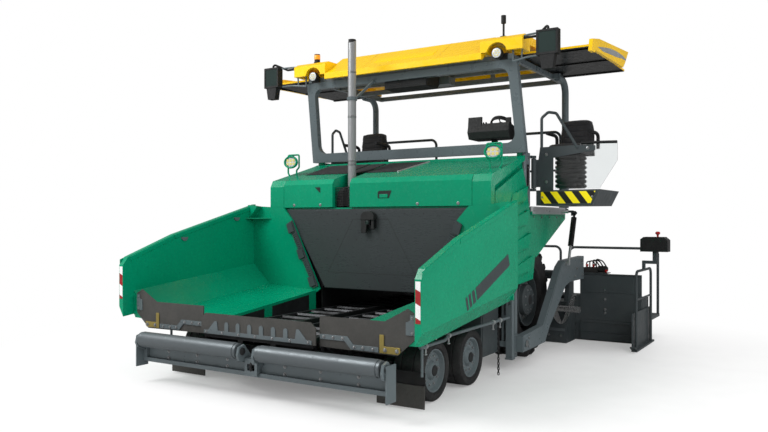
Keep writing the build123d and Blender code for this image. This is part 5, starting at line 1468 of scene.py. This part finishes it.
consoleShape()
deckPlate()
screedShape()
for side in sides:
    deckShape(side)
    armShape(side)
    extensionShape(side)
    endGateShape(side)
    guideShape(side)
print("deck, arms and screed")




# camera, floor and light
cameraLook = {"place": (4.58, -8.08, 1.65), "azimuth": 31.8, "lens": 34.3, "shiftY": 0.0052}


def placeCamera():
    data = bpy.data.cameras.new("camera")
    camera = addObject("camera", data)
    camera.location = cameraLook["place"]
    camera.rotation_euler = (math.radians(90), 0, math.radians(cameraLook["azimuth"]))
    data.lens = cameraLook["lens"]
    data.sensor_width = 36.0
    data.shift_y = cameraLook["shiftY"]
    data.clip_end = 200.0
    bpy.context.scene.camera = camera


# pale floor that keeps the shadow near the machine and runs into the white backdrop
lightLook = {
    "world": 0.7, "mirrored": 0.2, "floorDim": 0.75, "floorRadius": 70.0, "shadeFrom": 2.4, "shadeTo": 5.4,
    "lampSize": 6.0,
    "lamps": (("key", (-5.5, -7.5, 9.0), 950.0), ("fill", (8.0, -4.0, 5.0), 260.0), ("back", (2.0, 9.0, 8.0), 320.0)),
}


def makeFloor():
    builder = bmesh.new()
    bmesh.ops.create_circle(builder, cap_ends=True, radius=lightLook["floorRadius"], segments=96)
    mesh = meshOf("floor", builder)
    floor = addObject("floor", mesh)
    floor.location = (0, 0, -0.004)
    tree, principled = newMaterial("floorPale")
    setInputs(principled, {"Roughness": 0.7, "Specular IOR Level": 0.15})
    point = objectPoint(tree)
    tone = blendOf(tree, rangeOf(tree, noiseOf(tree, point, 3.0), 0.3, 0.7), rgb(0.86, 0.86, 0.86),
                   rgb(0.9, 0.9, 0.9))
    # glossy rays see the floor mixed almost to black: a painted dark reflection of the floor in the machine's shiny
    # parts
    path = addNode(tree, "ShaderNodeLightPath")
    dim = mathOf(tree, "MULTIPLY", path.outputs["Is Glossy Ray"], lightLook["floorDim"])
    link(blendOf(tree, dim, tone, rgb(0.02, 0.02, 0.02)), principled.inputs["Base Color"])
    white = addNode(tree, "ShaderNodeEmission", Strength=1.0)
    away = addNode(tree, "ShaderNodeVectorMath", operation="LENGTH")
    link(point, away.inputs[0])
    far = rangeOf(tree, away.outputs["Value"], lightLook["shadeFrom"], lightLook["shadeTo"], 0.2, 1.0)
    seen = mathOf(tree, "MULTIPLY", far, path.outputs["Is Camera Ray"])
    mix = addNode(tree, "ShaderNodeMixShader")
    link(seen, mix.inputs[0])
    link(principled.outputs[0], mix.inputs[1])
    link(white.outputs[0], mix.inputs[2])
    link(mix.outputs[0], tree.nodes["Material Output"].inputs["Surface"])
    mesh.materials.append(finishes["floorPale"])


def makeLight():
    world = bpy.data.worlds.new("studio")
    bpy.context.scene.world = world
    world.use_nodes = True
    tree = world.node_tree
    background = tree.nodes["Background"]
    path = addNode(tree, "ShaderNodeLightPath")
    shown = mathOf(tree, "MAXIMUM", path.outputs["Is Camera Ray"], path.outputs["Is Transmission Ray"])
    soft = rangeOf(tree, path.outputs["Is Glossy Ray"], 0.0, 1.0, lightLook["world"], lightLook["mirrored"])
    strength = mathOf(tree, "MAXIMUM", shown, soft)
    link(strength, background.inputs["Strength"])
    background.inputs["Color"].default_value = rgb(1, 1, 1)
    for name, place, power in lightLook["lamps"]:
        data = bpy.data.lights.new(name, "AREA")
        data.shape = "DISK"
        data.size = lightLook["lampSize"]
        data.energy = power
        lamp = addObject(name, data)
        lamp.location = place
        lamp.visible_glossy = name == "key"
        lamp.rotation_euler = (Vector((0, 0, 1.0)) - Vector(place)).to_track_quat("-Z", "Y").to_euler()


placeCamera()
makeFloor()
makeLight()
bpy.context.scene.view_settings.view_transform = "Standard"
print("camera, floor and light")
